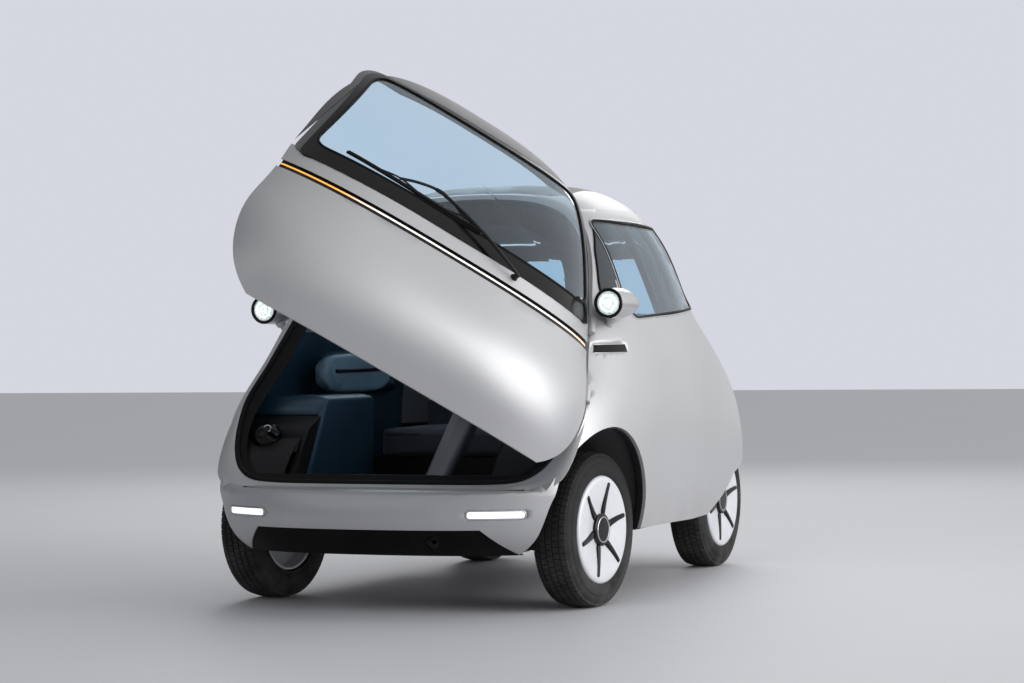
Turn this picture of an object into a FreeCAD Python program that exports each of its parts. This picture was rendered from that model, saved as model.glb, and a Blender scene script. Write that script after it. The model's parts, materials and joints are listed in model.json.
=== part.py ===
import FreeCAD, Part
import math
import os
from collections import namedtuple

# Two-seat microcar with one front door, a rear lid and four wheels.
# Millimetres. While it is modelled, X runs across the car with the car's left
# side at +X, Y runs back from the front axle and Z runs up from the ground, so
# the car faces -Y. At the end the whole car moves along Y so that the origin
# lies on the ground under the middle of its box. The door stands open and the
# front wheels are turned a little, as the car is parked.

V = FreeCAD.Vector

# Driving dimensions
WHEELBASE = 1566.0
BODY_HEIGHT = 1501.0
TYRE_RADIUS = 266.6
TYRE_WIDTH = 145.0
RIM_RADIUS = 170.0
FRONT_TYRE_FACE_X = 678.0
REAR_TYRE_FACE_X = 567.0
REST_STEER_DEG = -5.0
STEER_LOCK_DEG = 30.0
STEERING_RATIO = 12.0
DOOR_OPEN_DEG = 50.1
LID_OPEN_DEG = 75.0

# Walls and clearances
WALL = 32.0
SKIN = 12.0
GLASS_THICKNESS = 10.0
TRIM_THICKNESS = 14.0
PANEL_GAP = 4.0
MOVING_GAP = 8.0
SEAT_GAP = 0.3
RUNNING_GAP = 0.3

# Door opening: one slanted plane through two points of the side view
OPENING_LOW = (-325.0, 467.0)
OPENING_HIGH = (394.0, 1374.0)
HINGE_POINT = V(610.7, 89.3, 1000.0)
HINGE_DIRECTION = V(-0.1693, 0.5989, 0.7833)
DOOR_BARREL_PLACES = (-340.0, -40.0)
LID_BARREL_X = 95.0
BARREL_LENGTH = 70.0
BARREL_RADIUS = 13.0
DOOR_BOTTOM_Z = 430.0
LEDGE_GAP = 10.0
LIGHT_STRIP_Z = 888.0
LIGHT_STRIP_HEIGHT = 30.0
LIGHT_STRIP_DEPTH = 5.0
DOOR_LINING_FOOT = 30.0
SCREEN_BASE_Z = 972.0
SEAL_WIDTH = 46.0
SEAL_DEPTH = 40.0

# Wheel arch and lower edge of the body in the side view
ARCH_CENTRE = (-30.0, 295.0)
ARCH_RADIUS = 325.0
LINER_THICKNESS = 6.0
LINER_WALL_X = 400.0
BUMPER_SEAM_Y = -300.0
BUMPER_SEAM_Z = 519.0
LOWER_EDGE = ((200.0, 250.0), (560.0, 246.0), (900.0, 238.0), (1110.0, 241.0), (1285.0, 300.0),
              (1465.0, 382.0), (1610.0, 402.0), (1780.0, 424.0), (2050.0, 440.0))

# Plan sections of the body from the sill to the roof
Section = namedtuple("Section", "z y_front y_rear half_width front_centre rear_centre "
                                "front_power rear_power taper")
BODY_SECTIONS = [Section(*row) for row in (
    (200, -400, 1930, 690, 100, 500, 3.5, 6.0, .16),
    (300, -440, 1970, 722, 100, 500, 3.6, 6.5, .18),
    (410, -425, 1992, 737, 100, 500, 3.5, 7.0, .19),
    (540, -482, 1998, 742, 150, 500, 3.2, 6.5, .19),
    (690, -442, 1978, 738, 200, 500, 2.95, 5.5, .20),
    (800, -347, 1905, 720, 330, 550, 2.75, 4.4, .19),
    (890, -255, 1795, 706, 450, 600, 2.8, 3.6, .17),
    (975, -195, 1625, 674, 450, 650, 2.8, 3.2, .12),
    (1060, -115, 1510, 636, 500, 680, 2.95, 3.0, .06),
    (1190, 20, 1460, 588, 560, 700, 3.3, 2.8, 0),
    (1330, 195, 1370, 525, 640, 750, 3.3, 2.7, 0),
    (1425, 365, 1215, 440, 700, 780, 3.2, 2.5, 0),
    (1486, 545, 1060, 325, 780, 800, 2.6, 2.4, 0),
    (1501, 630, 970, 230, 800, 800, 2.4, 2.2, 0),
    (1501, 700, 900, 120, 800, 800, 2.2, 2.2, 0))]

# Plan sections of the front bumper
BUMPER_SECTIONS = [Section(*row) for row in (
    (203, -455, 500, 640, -40, 100, 2.7, 4.0, 0),
    (240, -505, 500, 690, -40, 100, 2.6, 4.0, 0),
    (300, -530, 500, 725, -40, 100, 2.5, 4.0, 0),
    (350, -538, 500, 738, -40, 100, 2.45, 4.0, 0),
    (400, -520, 500, 742, -40, 100, 2.6, 4.0, 0),
    (430, -500, 500, 741, -30, 100, 2.9, 4.0, 0),
    (480, -480, 500, 740, -20, 100, 3.1, 4.0, 0),
    (530, -470, 500, 740, -10, 100, 3.2, 4.0, 0))]
BUMPER_TOP_Z = DOOR_BOTTOM_Z - LEDGE_GAP
SECTION_POINTS = 32
POINT_SPREAD = 0.6
ROUND_END = 0.95

# Rear lid and its glass, as half widths at two heights
LID_BOTTOM = (470.0, 640.0)
LID_TOP = (370.0, 1300.0)
LID_CORNER = 90.0
REAR_GLASS_BOTTOM = (380.0, 970.0)
REAR_GLASS_TOP = (300.0, 1245.0)
REAR_GLASS_CORNER = 60.0
LID_LIGHT_Z = 800.0
LID_LIGHT_HEIGHT = 26.0
LID_LIGHT_HALF = 400.0
LID_LIGHT_START_Y = 1400.0
LID_START_Y = 1050.0
REAR_BUMPER_Y = 1700.0
REAR_BUMPER_TOP_Z = 590.0
REAR_WELL_X = 380.0

# Glass openings
SCREEN_CORNERS = ((-560.0, 1012.0), (560.0, 1012.0), (418.0, 1335.0), (-418.0, 1335.0))
SCREEN_CORNER_RADIUS = 60.0
SCREEN_BORDER_CORNERS = ((-648.0, 880.0), (648.0, 880.0), (440.0, 1353.0), (-440.0, 1353.0))
SCREEN_BORDER_RADIUS = 84.0
SIDE_WINDOW = ((330.0, 992.0), (1250.0, 1035.0), (1105.0, 1335.0), (400.0, 1352.0))
SIDE_WINDOW_RADIUS = 55.0
WINDOW_BARS_Y = (690.0, 950.0)
WINDOW_BAR_WIDTH = 22.0
ROOF_SPLIT_Z = 1395.0
CANOPY_FRONT = (345.0, 480.0)
CANOPY_REAR = (310.0, 1120.0)
CANOPY_CORNER = 90.0

# Lamps, grille and strips
HEADLAMP_CENTRE = V(680.0, 71.0, 1045.0)
HEADLAMP_LENS_RADIUS = 46.0
HEADLAMP_POD_RADIUS = 55.0
HEADLAMP_LENGTH = 215.0
DAY_LAMP_X = 471.0
DAY_LAMP_Z = 344.0
DAY_LAMP_SIZE = (178.0, 28.0)
GRILLE_BOTTOM_HALF = 512.0
GRILLE_TOP_HALF = 420.0
GRILLE_TOP_Z = 293.0
GRILLE_FOOT_Z = 203.0
SIDE_STRIP = (-60.0, 208.0, 873.0, 902.0)
SIDE_STRIP_DEPTH = 6.0

# Floor, seat and cabin
FLOOR_Z = 240.0
FLOOR_THICKNESS = 22.0
FLOOR_FRONT_Y = -280.0
WHEEL_WELL = (382.0, 332.0)
BULKHEAD_Y = 1150.0
BULKHEAD_THICKNESS = 20.0
LOAD_FLOOR_Z = 570.0
LOAD_FLOOR_THICKNESS = 18.0
LOAD_FLOOR_REAR_Y = 1940.0
LOAD_FLOOR_EDGE_GAP = 6.0
JACK_PAD_PLACE = (450.0, 800.0)
JACK_PAD_SIZE = (90.0, 60.0, 6.0)
ARCH_COVER = ((-270.0, 262.3), (-270.0, 470.0), (-170.0, 610.0), (30.0, 700.0), (300.0, 700.0),
              (330.0, 262.3))
ARCH_COVER_X = 380.0
SEAT_WIDTH = 980.0
SEAT_FRONT_Y = 560.0
SEAT_BASE_TOP_Z = 480.0
SEAT_BASE_WALL = 20.0
CUSHION_OVERHANG = 10.0
CUSHION_REAR_Y = 1010.0
CUSHION_HEIGHT = 120.0
CUSHION_EDGE = 30.0
BACKREST_TOP_Z = 1020.0
BACKREST_TOP = (1110.0, 1210.0)
TRIM_TOP_Z = 960.0
TRIM_BOTTOM_Z = 270.0
ARMREST_CENTRE = (760.0, 800.0)
ARMREST_SIZE = (580.0, 150.0)
ARMREST_DEPTH = 26.0
ARMREST_SLOT_END = 60.0
ARMREST_SLOT_HALF = 12.0
BATTERY_SIZE = (600.0, 420.0, 160.0)
BATTERY_FRONT_Y = 600.0
MOTOR_SIZE = (260.0, 190.0, 190.0)
MOTOR_REAR_Y = 1526.0
MOTOR_BOTTOM_Z = 206.6
MOTOR_STRAP = (90.0, 120.0, 1406.0, 1466.0)

# Steering column from the floor to the steering wheel
COLUMN_FOOT = V(-25.0, -15.0, 262.3)
COLUMN_HEAD = V(165.0, 210.0, 840.0)
COLUMN_WIDTH = 92.0
COLUMN_DEPTH = 70.0
COLUMN_CORNER = 20.0
COLUMN_SINK = 40.0
COLUMN_TOP_GAP = 60.0
COLUMN_SHAFT_RADIUS = 16.0
COLUMN_SHAFT = (110.0, 10.0)
STEERING_WHEEL_RADIUS = 165.0
STEERING_RIM_RADIUS = 13.0
STEERING_HUB_RADIUS = 42.0
STEERING_HUB_FACES = (-9.7, 22.0)
STEERING_SPOKES_DEG = (90.0, 210.0, 330.0)
STEERING_SPOKE_RADIUS = 9.0
STEERING_SPOKE_START = 30.0
DASH_BAR = (135.0, 740.0)
DASH_BAR_RADIUS = 24.0

# Mounts: towing socket behind the grille and plate holes in the rear bumper
TOW_SOCKET = (250.0, 251.0)
TOW_SOCKET_FACE_Y = -455.0
TOW_BORE_RADIUS = 8.5
TOW_BORE_DEPTH = 60.0
TOW_TUBE_RADIUS = 16.0
TOW_TUBE_OVERLAP = 10.0
TOW_ACCESS_RADIUS = 24.0
PLATE_HOLES_Z = 520.0
PLATE_HOLE_SPACING = 240.0
PLATE_HOLE_RADIUS = 3.0

# Steering knuckle and hub
KINGPIN_X = 575.0
KINGPIN_RADIUS = 10.0
KINGPIN_REACH = 14.0
STUB_RADIUS = 19.7
HUB_BORE_DEPTH = 46.0
HUB_BORE_FACE = 8.0
LOWER_ARM_Z = 186.0
UPPER_ARM_Z = 340.0
BACKING_PLATE_RADIUS = 58.0
BACKING_PLATE_FACES = (-22.0, -2.0)
UPRIGHT_FACES = (-24.0, 20.0)
UPRIGHT_HALF_DEPTH = 24.0
UPRIGHT_END_GAP = 16.0

# Front wishbones, struts and the cross member that carries them
CROSS_MEMBER = (370.0, 70.0, 60.0)
ARM_EYE_RADIUS = 24.0
ARM_EYE_HALF_HEIGHT = 13.0
ARM_LEG_RADIUS = 11.0
ARM_SPREAD = 60.0
LOWER_ARM_ROOT = (362.0, 212.0)
UPPER_ARM_ROOT = (400.0, 352.0)
STRUT_FOOT = V(470.0, 0.0, 192.0)
STRUT_SLEEVE_FOOT = V(464.0, 0.0, 380.0)
STRUT_HEAD = V(455.0, 0.0, 600.0)
STRUT_ROD_RADIUS = 16.0
STRUT_SLEEVE_RADIUS = 30.0

# Rear trailing arms, brake drums and springs
REAR_ARM_X = 330.0
REAR_ARM_FRONT = (1180.0, 330.0)
REAR_ARM_RADIUS = 20.0
REAR_BUSH_RADIUS = 26.0
REAR_BUSH_HALF = 30.0
DRUM_RADIUS = 85.0
DRUM_INSETS = (40.0, 22.0)
SPRING_OFFSET = (-60.0, 20.0)
SPRING_RADIUS = 34.0

# Headlamp pod and lens: places behind the lens edge with their radius
PodPoint = namedtuple("PodPoint", "behind radius")
POD_MOUTH = PodPoint(-6.0, 49.0)
POD_FRONT_BULGE = PodPoint(25.0, 53.0)
POD_WIDEST = PodPoint(70.0, HEADLAMP_POD_RADIUS)
POD_REAR_BULGE = PodPoint(150.0, 47.3)
POD_BACK = PodPoint(HEADLAMP_LENGTH, 30.0)
POD_SEAT = 14.0
LENS_CROWN = PodPoint(-10.0, 0.0)
LENS_BULGE = PodPoint(-7.0, 27.4)
MIRROR_RADIUS = 27.0
MIRROR_THICKNESS = 3.0
LAMP_BRACKET = (V(610.0, 181.0, 930.0), V(672.0, 146.0, 1014.75))
LAMP_BRACKET_RADIUS = 15.0
LAMP_COLLAR_RADIUS = 20.0
LAMP_COLLAR_LENGTH = 34.0

# Wiper: width and height on the skin, with the lift above it
WiperPoint = namedtuple("WiperPoint", "x z lift")
WIPER_SPINDLE = (WiperPoint(90.0, 955.0, -4.0), WiperPoint(90.0, 955.0, 26.0))
WIPER_ARM = (WiperPoint(90.0, 955.0, 20.0), WiperPoint(-120.0, 1012.0, 22.0))
WIPER_BLADE = (WiperPoint(60.0, 985.0, 14.0), WiperPoint(-330.0, 1015.0, 16.0))
WIPER_SPINDLE_RADIUS = 13.0
WIPER_ARM_RADIUS = 6.0
WIPER_BLADE_RADIUS = 7.0

# Tyre and wheel outlines: place along the axle, outwards, with the radius
RingPoint = namedtuple("RingPoint", "along radius")
TYRE_OUTLINE = [RingPoint(*row) for row in (
    (-60.5, 170.0), (-72.5, 190.0), (-72.5, 234.6), (-60.5, 263.6), (0.0, 266.6), (60.5, 263.6),
    (72.5, 234.6), (72.5, 190.0), (60.5, 170.0))]
WHEEL_OUTLINE = [RingPoint(*row) for row in (
    (-60.5, 170.0), (-60.5, 156.0), (0.0, 148.0), (16.0, 70.0), (10.0, 50.0), (10.0, 20.0), (56.0, 20.0),
    (56.0, 0.0), (78.5, 0.0), (78.5, 54.0), (72.5, 59.0), (64.5, 62.0), (70.5, 110.0), (66.5, 156.0),
    (70.5, 164.0), (60.5, 170.0))]
SPOKE_COUNT = 6
FIRST_SPOKE_DEG = 15.0
SPOKE_WIDTH = 12.0
SPOKE_REACH = (56.0, 160.0)
SPOKE_FACES = (58.5, 76.5)

BIG = 3000.0


def section_points(row, inset):
    """Control points of one plan section moved inwards, from the middle of the rear."""
    points = []
    half_width = max(row.half_width - inset, 10.0)
    y_front = min(row.y_front + inset, row.front_centre - 10.0)
    y_rear = max(row.y_rear - inset, row.rear_centre + 10.0)
    z = row.z - inset * row.z / BODY_HEIGHT
    for i in range(SECTION_POINTS):
        even = 2 * math.pi * i / SECTION_POINTS
        turn = even - POINT_SPREAD / 4 * math.sin(4 * even)
        across, along = math.sin(turn), -math.cos(turn)
        if i * 4 % SECTION_POINTS == 0 and i * 2 % SECTION_POINTS != 0:
            middle = (row.front_centre + row.rear_centre) / 2
            points.append(V(math.copysign(half_width, across), middle, z))
            continue
        power = row.front_power if along > 0 else row.rear_power
        reach = abs(along) ** (2 / power)
        x = half_width * abs(across) ** (2 / power)
        if along > 0:
            y = row.front_centre - (row.front_centre - y_front) * reach
        else:
            x *= 1 - row.taper * reach ** 1.5
            y = row.rear_centre + (y_rear - row.rear_centre) * reach
        points.append(V(math.copysign(x, across) if abs(across) > 1e-9 else 0.0, y, z))
    return points


def section_body(sections, inset=0.0):
    """Closed solid through the plan sections, each moved inwards by inset."""
    poles = [section_points(row, inset) for row in sections]
    count = len(poles)
    surface = Part.BSplineSurface()
    surface.buildFromPolesMultsKnots(
        poles, [4] + [1] * (count - 4) + [4], [1] * (SECTION_POINTS + 1),
        list(range(count - 2)), list(range(SECTION_POINTS + 1)), False, True, 3, 3)
    side = surface.toShape()
    caps = [Part.Face(Part.Wire([surface.uIso(u).toShape()])) for u in (0, count - 3)]
    shell = Part.Shell([side] + caps)
    shell.sewShape()
    solid = Part.Solid(shell)
    if solid.Volume < 0:
        solid.reverse()
    return solid


def box(x0, x1, y0, y1, z0, z1):
    """Box between two corners."""
    return Part.makeBox(x1 - x0, y1 - y0, z1 - z0, V(x0, y0, z0))


def layer(z0, z1):
    """Everything between two heights."""
    return box(-BIG, BIG, -BIG, BIG, z0, z1)


def rod(start, end, radius):
    """Round bar between two points."""
    return Part.makeCylinder(radius, (end - start).Length, start, end - start)


def mirrored(shape):
    """Mirror image on the other side of the car."""
    return shape.mirror(V(0, 0, 0), V(1, 0, 0))


def both(shape):
    """The shape and its mirror image."""
    return Part.makeCompound([shape, mirrored(shape)])


def prism(points, direction):
    """Solid swept from a closed outline of points along a direction."""
    return Part.Face(Part.makePolygon(points + [points[0]])).extrude(direction)


def rounded_prism(corners, radius, direction):
    """Solid swept from an outline with every corner rounded by an arc."""
    count = len(corners)
    arcs, ends = [], []
    for i, corner in enumerate(corners):
        before = (corners[i - 1] - corner).normalize()
        after = (corners[(i + 1) % count] - corner).normalize()
        half = before.getAngle(after) / 2
        cut = radius / math.tan(half)
        middle = (before + after).normalize() * (radius / math.sin(half) - radius)
        start, end = corner + before * cut, corner + after * cut
        arcs.append(Part.Arc(start, corner + middle, end).toShape())
        ends.append((start, end))
    lines = [Part.LineSegment(ends[i][1], ends[(i + 1) % count][0]).toShape() for i in range(count)]
    loop = [edge for pair in zip(arcs, lines) for edge in pair]
    return Part.Face(Part.Wire(loop)).extrude(direction)


def rectangle(across, up, radius, place, direction):
    """Rounded bar from the two corners of a rectangle, each point made by place."""
    corners = [place(a, u) for a, u in ((across[0], up[0]), (across[1], up[0]),
                                        (across[1], up[1]), (across[0], up[1]))]
    return rounded_prism(corners, radius, direction)


def side_prism(outline, x0=-BIG, x1=BIG):
    """Solid across the car from an outline in the side view."""
    return prism([V(x0, y, z) for y, z in outline], V(x1 - x0, 0, 0))


def rear_prism(bottom, top, corner, margin=0.0):
    """Rounded trapezoid seen from behind, swept through the rear of the body."""
    (low_half, low_z), (high_half, high_z) = bottom, top
    low_half, low_z = low_half + margin, low_z - margin
    high_half, high_z = high_half + margin, high_z + margin
    corners = [V(x, LID_START_Y, z) for x, z in
               ((-low_half, low_z), (low_half, low_z), (high_half, high_z), (-high_half, high_z))]
    return rounded_prism(corners, corner + margin, V(0, BIG, 0))


# Slanted plane of the door opening
SLOPE = V(0, OPENING_HIGH[0] - OPENING_LOW[0], OPENING_HIGH[1] - OPENING_LOW[1]).normalize()
OUTWARD = V(0, -SLOPE.z, SLOPE.y)
OPENING_POINT = V(0, *OPENING_LOW)


def opening_point(x, z, lift=0.0):
    """Point of the opening plane at a width and a height, lifted outwards."""
    return V(x, 0, 0) + OPENING_POINT + SLOPE * ((z - OPENING_POINT.z) / SLOPE.z) + OUTWARD * lift


def slab(low, high):
    """Everything between two lifts from the opening plane."""
    corners = [opening_point(x, z, low) for x, z in ((-BIG, -BIG), (-BIG, BIG), (BIG, BIG), (BIG, -BIG))]
    return prism(corners, OUTWARD * (high - low))


def pieces(shape):
    """The solids of a shape as one compound, or the solid itself."""
    solids = [solid for solid in shape.Solids if solid.Volume > 500.0]
    return solids[0] if len(solids) == 1 else Part.makeCompound(solids)


# Nested body forms, from the skin inwards
outer = section_body(BODY_SECTIONS)
under_skin = section_body(BODY_SECTIONS, SKIN)
under_glass = section_body(BODY_SECTIONS, GLASS_THICKNESS)
inner = section_body(BODY_SECTIONS, WALL)
cabin = section_body(BODY_SECTIONS, WALL + SEAT_GAP)
trimmed = section_body(BODY_SECTIONS, WALL + TRIM_THICKNESS)
trimmed_fit = section_body(BODY_SECTIONS, WALL + TRIM_THICKNESS + SEAT_GAP)
armrest_form = section_body(BODY_SECTIONS, WALL + TRIM_THICKNESS + ARMREST_DEPTH)
seal_inner = section_body(BODY_SECTIONS, SKIN + SEAL_WIDTH)

shell = outer.cut(inner)
glass_shell = outer.cut(under_glass)
in_front = slab(PANEL_GAP, BIG)
behind = slab(-BIG, -PANEL_GAP)
arch = Part.makeCylinder(ARCH_RADIUS, 2 * BIG, V(-BIG, *ARCH_CENTRE), V(1, 0, 0))
below_body = side_prism(((-BIG, -10.0), (-BIG, BUMPER_SEAM_Z), (BUMPER_SEAM_Y, BUMPER_SEAM_Z),
                         (BUMPER_SEAM_Y, 250.0)) + LOWER_EDGE + ((2050.0, -10.0),))
left_side, right_side = box(0, BIG, -BIG, BIG, -BIG, BIG), box(-BIG, 0, -BIG, BIG, -BIG, BIG)


def hinge_barrels():
    """Barrels on the door's axis, let half into the door's and the body's edges."""
    along = V(HINGE_DIRECTION).normalize()
    half = along * (BARREL_LENGTH / 2)
    return [rod(HINGE_POINT + along * place - half, HINGE_POINT + along * place + half, BARREL_RADIUS)
            for place in DOOR_BARREL_PLACES]


def lid_axis():
    """Point on the lid's hinge axis, at the skin above the lid's top edge."""
    axis_z = LID_TOP[1] + MOVING_GAP / 2
    line = Part.makeLine(V(0, LID_START_Y, axis_z), V(0, BIG, axis_z))
    return line.common(outer).Vertexes[-1].Point


def lid_barrel(margin):
    """One barrel on the lid's axis, grown by a margin."""
    half = BARREL_LENGTH / 2 + margin
    return rod(V(LID_BARREL_X - half, LID_AXIS.y, LID_AXIS.z), V(LID_BARREL_X + half, LID_AXIS.y, LID_AXIS.z),
               BARREL_RADIUS + margin)


def body_nodes():
    """Fixed panels, glass, seal and bumpers."""
    made = {}
    lid_hole = rear_prism(LID_BOTTOM, LID_TOP, LID_CORNER, MOVING_GAP)
    panels = shell.common(behind).cut(below_body).cut(arch).cut(lid_hole)
    edge = slab(-SEAL_DEPTH, -PANEL_GAP)
    hoop = under_skin.cut(seal_inner).fuse(under_skin.common(layer(BUMPER_TOP_Z, BUMPER_TOP_Z + SEAL_WIDTH)))
    seal = pieces(hoop.common(edge).common(layer(BUMPER_TOP_Z, BIG)).cut(arch))
    panels = panels.cut(edge.common(under_skin))
    strip = both(box(560, 800, *SIDE_STRIP[:2], *SIDE_STRIP[2:])).common(outer)
    strip = strip.cut(section_body(BODY_SECTIONS, SIDE_STRIP_DEPTH)).common(slab(-BIG, -PANEL_GAP - 14.0))
    panels = panels.cut(strip)
    window = both(rounded_prism([V(0, y, z) for y, z in SIDE_WINDOW], SIDE_WINDOW_RADIUS, V(BIG, 0, 0)))
    roof = panels.common(layer(ROOF_SPLIT_Z, BIG))
    corners = [V(x * side, y, ROOF_SPLIT_Z - 60.0) for (x, y), side in
               ((CANOPY_FRONT, -1), (CANOPY_FRONT, 1), (CANOPY_REAR, 1), (CANOPY_REAR, -1))]
    canopy = rounded_prism(corners, CANOPY_CORNER, V(0, 0, 300.0))
    made["roof_frame"] = roof.cut(canopy)
    made["roof_canopy"] = roof.common(canopy)
    lower = panels.common(layer(-BIG, ROOF_SPLIT_Z)).cut(window)
    lower = lower.cut(both(rod(V(REAR_WELL_X, WHEELBASE, TYRE_RADIUS),
                               V(REAR_TYRE_FACE_X + MOVING_GAP, WHEELBASE, TYRE_RADIUS), TYRE_RADIUS + 20.0)))
    tail = box(-BIG, BIG, REAR_BUMPER_Y, BIG, -BIG, REAR_BUMPER_TOP_Z)
    plate_holes = both(rod(V(PLATE_HOLE_SPACING / 2, REAR_BUMPER_Y, PLATE_HOLES_Z),
                           V(PLATE_HOLE_SPACING / 2, BIG, PLATE_HOLES_Z), PLATE_HOLE_RADIUS))
    made["rear_bumper"] = lower.common(tail).cut(plate_holes)
    lower = lower.cut(tail)
    made["side_panel_left"] = lower.common(left_side)
    made["side_panel_right"] = lower.common(right_side)
    bars = both(Part.makeCompound([box(0, BIG, y - WINDOW_BAR_WIDTH / 2, y + WINDOW_BAR_WIDTH / 2, 900, 1450)
                                   for y in WINDOW_BARS_Y]))
    pane = glass_shell.common(behind).common(window)
    made["window_bars"] = under_skin.cut(inner).common(window).common(bars)
    made["side_glass"] = pane
    made["side_strips"] = strip
    made["opening_seal"] = seal
    return made


def front_nodes():
    """Front bumper, its grille and the day lamps."""
    form = section_body(BUMPER_SECTIONS)
    hollow = section_body(BUMPER_SECTIONS, WALL).common(layer(-BIG, BUMPER_TOP_Z - WALL))
    front = box(-BIG, BIG, -BIG, BUMPER_SEAM_Y - SEAT_GAP, -BIG, BUMPER_SEAM_Z)
    above_ledge = layer(BUMPER_TOP_Z, BIG)
    shell_fit = section_body(BODY_SECTIONS, -1.0).common(above_ledge)
    bumper = form.cut(hollow).common(front).cut(arch)
    bumper = bumper.cut(slab(-SEAL_DEPTH, BIG).common(above_ledge).common(shell_fit))
    bumper = bumper.cut(slab(-PANEL_GAP, BIG).common(above_ledge)).cut(cabin.common(above_ledge))
    outline = ((-GRILLE_BOTTOM_HALF, 100.0), (GRILLE_BOTTOM_HALF, 100.0), (GRILLE_BOTTOM_HALF, GRILLE_FOOT_Z),
               (GRILLE_TOP_HALF, GRILLE_TOP_Z), (-GRILLE_TOP_HALF, GRILLE_TOP_Z),
               (-GRILLE_BOTTOM_HALF, GRILLE_FOOT_Z))
    grille_cut = prism([V(x, -BIG, z) for x, z in outline], V(0, BIG, 0))
    grille = section_body(BUMPER_SECTIONS, 8.0).cut(section_body(BUMPER_SECTIONS, 24.0)).common(grille_cut)
    x, z = TOW_SOCKET
    grille = grille.cut(rod(V(x, -BIG, z), V(x, BUMPER_SEAM_Y, z), TOW_ACCESS_RADIUS))
    half, tall = DAY_LAMP_SIZE[0] / 2, DAY_LAMP_SIZE[1] / 2
    lamp_cut = both(rounded_prism([V(DAY_LAMP_X + x * half, -BIG, DAY_LAMP_Z + z * tall) for x, z in
                                   ((-1, -1), (1, -1), (1, 1), (-1, 1))], tall * 0.8, V(0, BIG, 0)))
    lamps = form.cut(section_body(BUMPER_SECTIONS, 18.0)).common(lamp_cut)
    return {"front_bumper": bumper.cut(grille_cut).cut(lamps), "lower_grille": grille, "daytime_lamps": lamps}


def headlamp_nodes():
    """Egg pods on brackets, with a lens in front and a mirror behind."""
    x, y, z = HEADLAMP_CENTRE

    def at(point):
        """Place of an outline point above the lamp's axis."""
        return V(x, y + point.behind, z + point.radius)

    def arc(start, middle, end):
        """Curved edge through three outline points."""
        return Part.Arc(at(start), at(middle), at(end)).toShape()

    def lines(*points):
        """Straight edges from point to point."""
        return [Part.LineSegment(at(a), at(b)).toShape() for a, b in zip(points, points[1:])]

    def turned_round(edges):
        """Solid of a half outline turned about the lamp's axis."""
        return Part.Face(Part.Wire(edges)).revolve(V(x, 0, z), V(0, 1, 0), 360)

    seat_edge = PodPoint(POD_SEAT, HEADLAMP_LENS_RADIUS)
    egg = [arc(POD_MOUTH, POD_FRONT_BULGE, POD_WIDEST), arc(POD_WIDEST, POD_REAR_BULGE, POD_BACK)]
    mouth_edge = PodPoint(POD_MOUTH.behind, HEADLAMP_LENS_RADIUS)
    pod = turned_round(egg + lines(POD_BACK, PodPoint(POD_BACK.behind, 0.0), PodPoint(POD_SEAT, 0.0),
                                   seat_edge, mouth_edge, POD_MOUTH))
    radius, back = HEADLAMP_LENS_RADIUS - SEAT_GAP, POD_SEAT - SEAT_GAP
    rim = PodPoint(0.0, radius)
    lens = turned_round([arc(LENS_CROWN, LENS_BULGE, rim)]
                        + lines(rim, PodPoint(back, radius), PodPoint(back, 0.0), LENS_CROWN))
    mirror = Part.makeCylinder(MIRROR_RADIUS, MIRROR_THICKNESS, V(x, y + HEADLAMP_LENGTH, z), V(0, 1, 0))
    root, tip = LAMP_BRACKET
    collar_start = tip - (tip - root).normalize() * LAMP_COLLAR_LENGTH
    bracket = rod(root, tip, LAMP_BRACKET_RADIUS).fuse(rod(collar_start, tip, LAMP_COLLAR_RADIUS))
    return {"headlamp_pods": both(pod), "headlamp_lenses": both(lens), "wing_mirrors": both(mirror),
            "headlamp_brackets": both(pieces(bracket.cut(pod).cut(outer)))}


def door_nodes():
    """Front door, modelled closed."""
    door = shell.common(in_front).common(layer(DOOR_BOTTOM_Z, BIG))
    low, high = LIGHT_STRIP_Z - LIGHT_STRIP_HEIGHT / 2, LIGHT_STRIP_Z + LIGHT_STRIP_HEIGHT / 2
    strip_form = section_body(BODY_SECTIONS, LIGHT_STRIP_DEPTH)
    screen, border = (
        rounded_prism([opening_point(x, z, -200.0) for x, z in corners], radius, OUTWARD * 900.0)
        for corners, radius in ((SCREEN_CORNERS, SCREEN_CORNER_RADIUS),
                                (SCREEN_BORDER_CORNERS, SCREEN_BORDER_RADIUS)))
    frame = door.common(layer(SCREEN_BASE_Z, BIG)).cut(screen)
    lining = cabin.cut(trimmed).common(in_front).common(layer(DOOR_BOTTOM_Z + DOOR_LINING_FOOT, TRIM_TOP_Z))
    return {"door_lower_panel": door.common(layer(-BIG, low)),
            "door_light_bar": door.common(strip_form).common(layer(low, high)),
            "door_belt_panel": door.common(layer(high, SCREEN_BASE_Z)),
            "windscreen_frame": frame.cut(border), "windscreen_border": frame.common(border),
            "windscreen_glass": glass_shell.common(in_front).common(screen),
            "door_lining": lining, "wiper": wiper()}


def skin_point(point):
    """Place on the front skin at a width and a height, lifted outwards."""
    line = Part.makeLine(V(point.x, -BIG, point.z), V(point.x, 600.0, point.z))
    return line.common(outer).Vertexes[0].Point + OUTWARD * point.lift


def wiper():
    """Spindle, arm and blade that lie above the foot of the windscreen."""
    spindle, arm, blade = (
        rod(skin_point(start), skin_point(end), radius)
        for (start, end), radius in ((WIPER_SPINDLE, WIPER_SPINDLE_RADIUS), (WIPER_ARM, WIPER_ARM_RADIUS),
                                     (WIPER_BLADE, WIPER_BLADE_RADIUS)))
    return spindle.fuse([arm, blade]).cut(outer)


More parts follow.
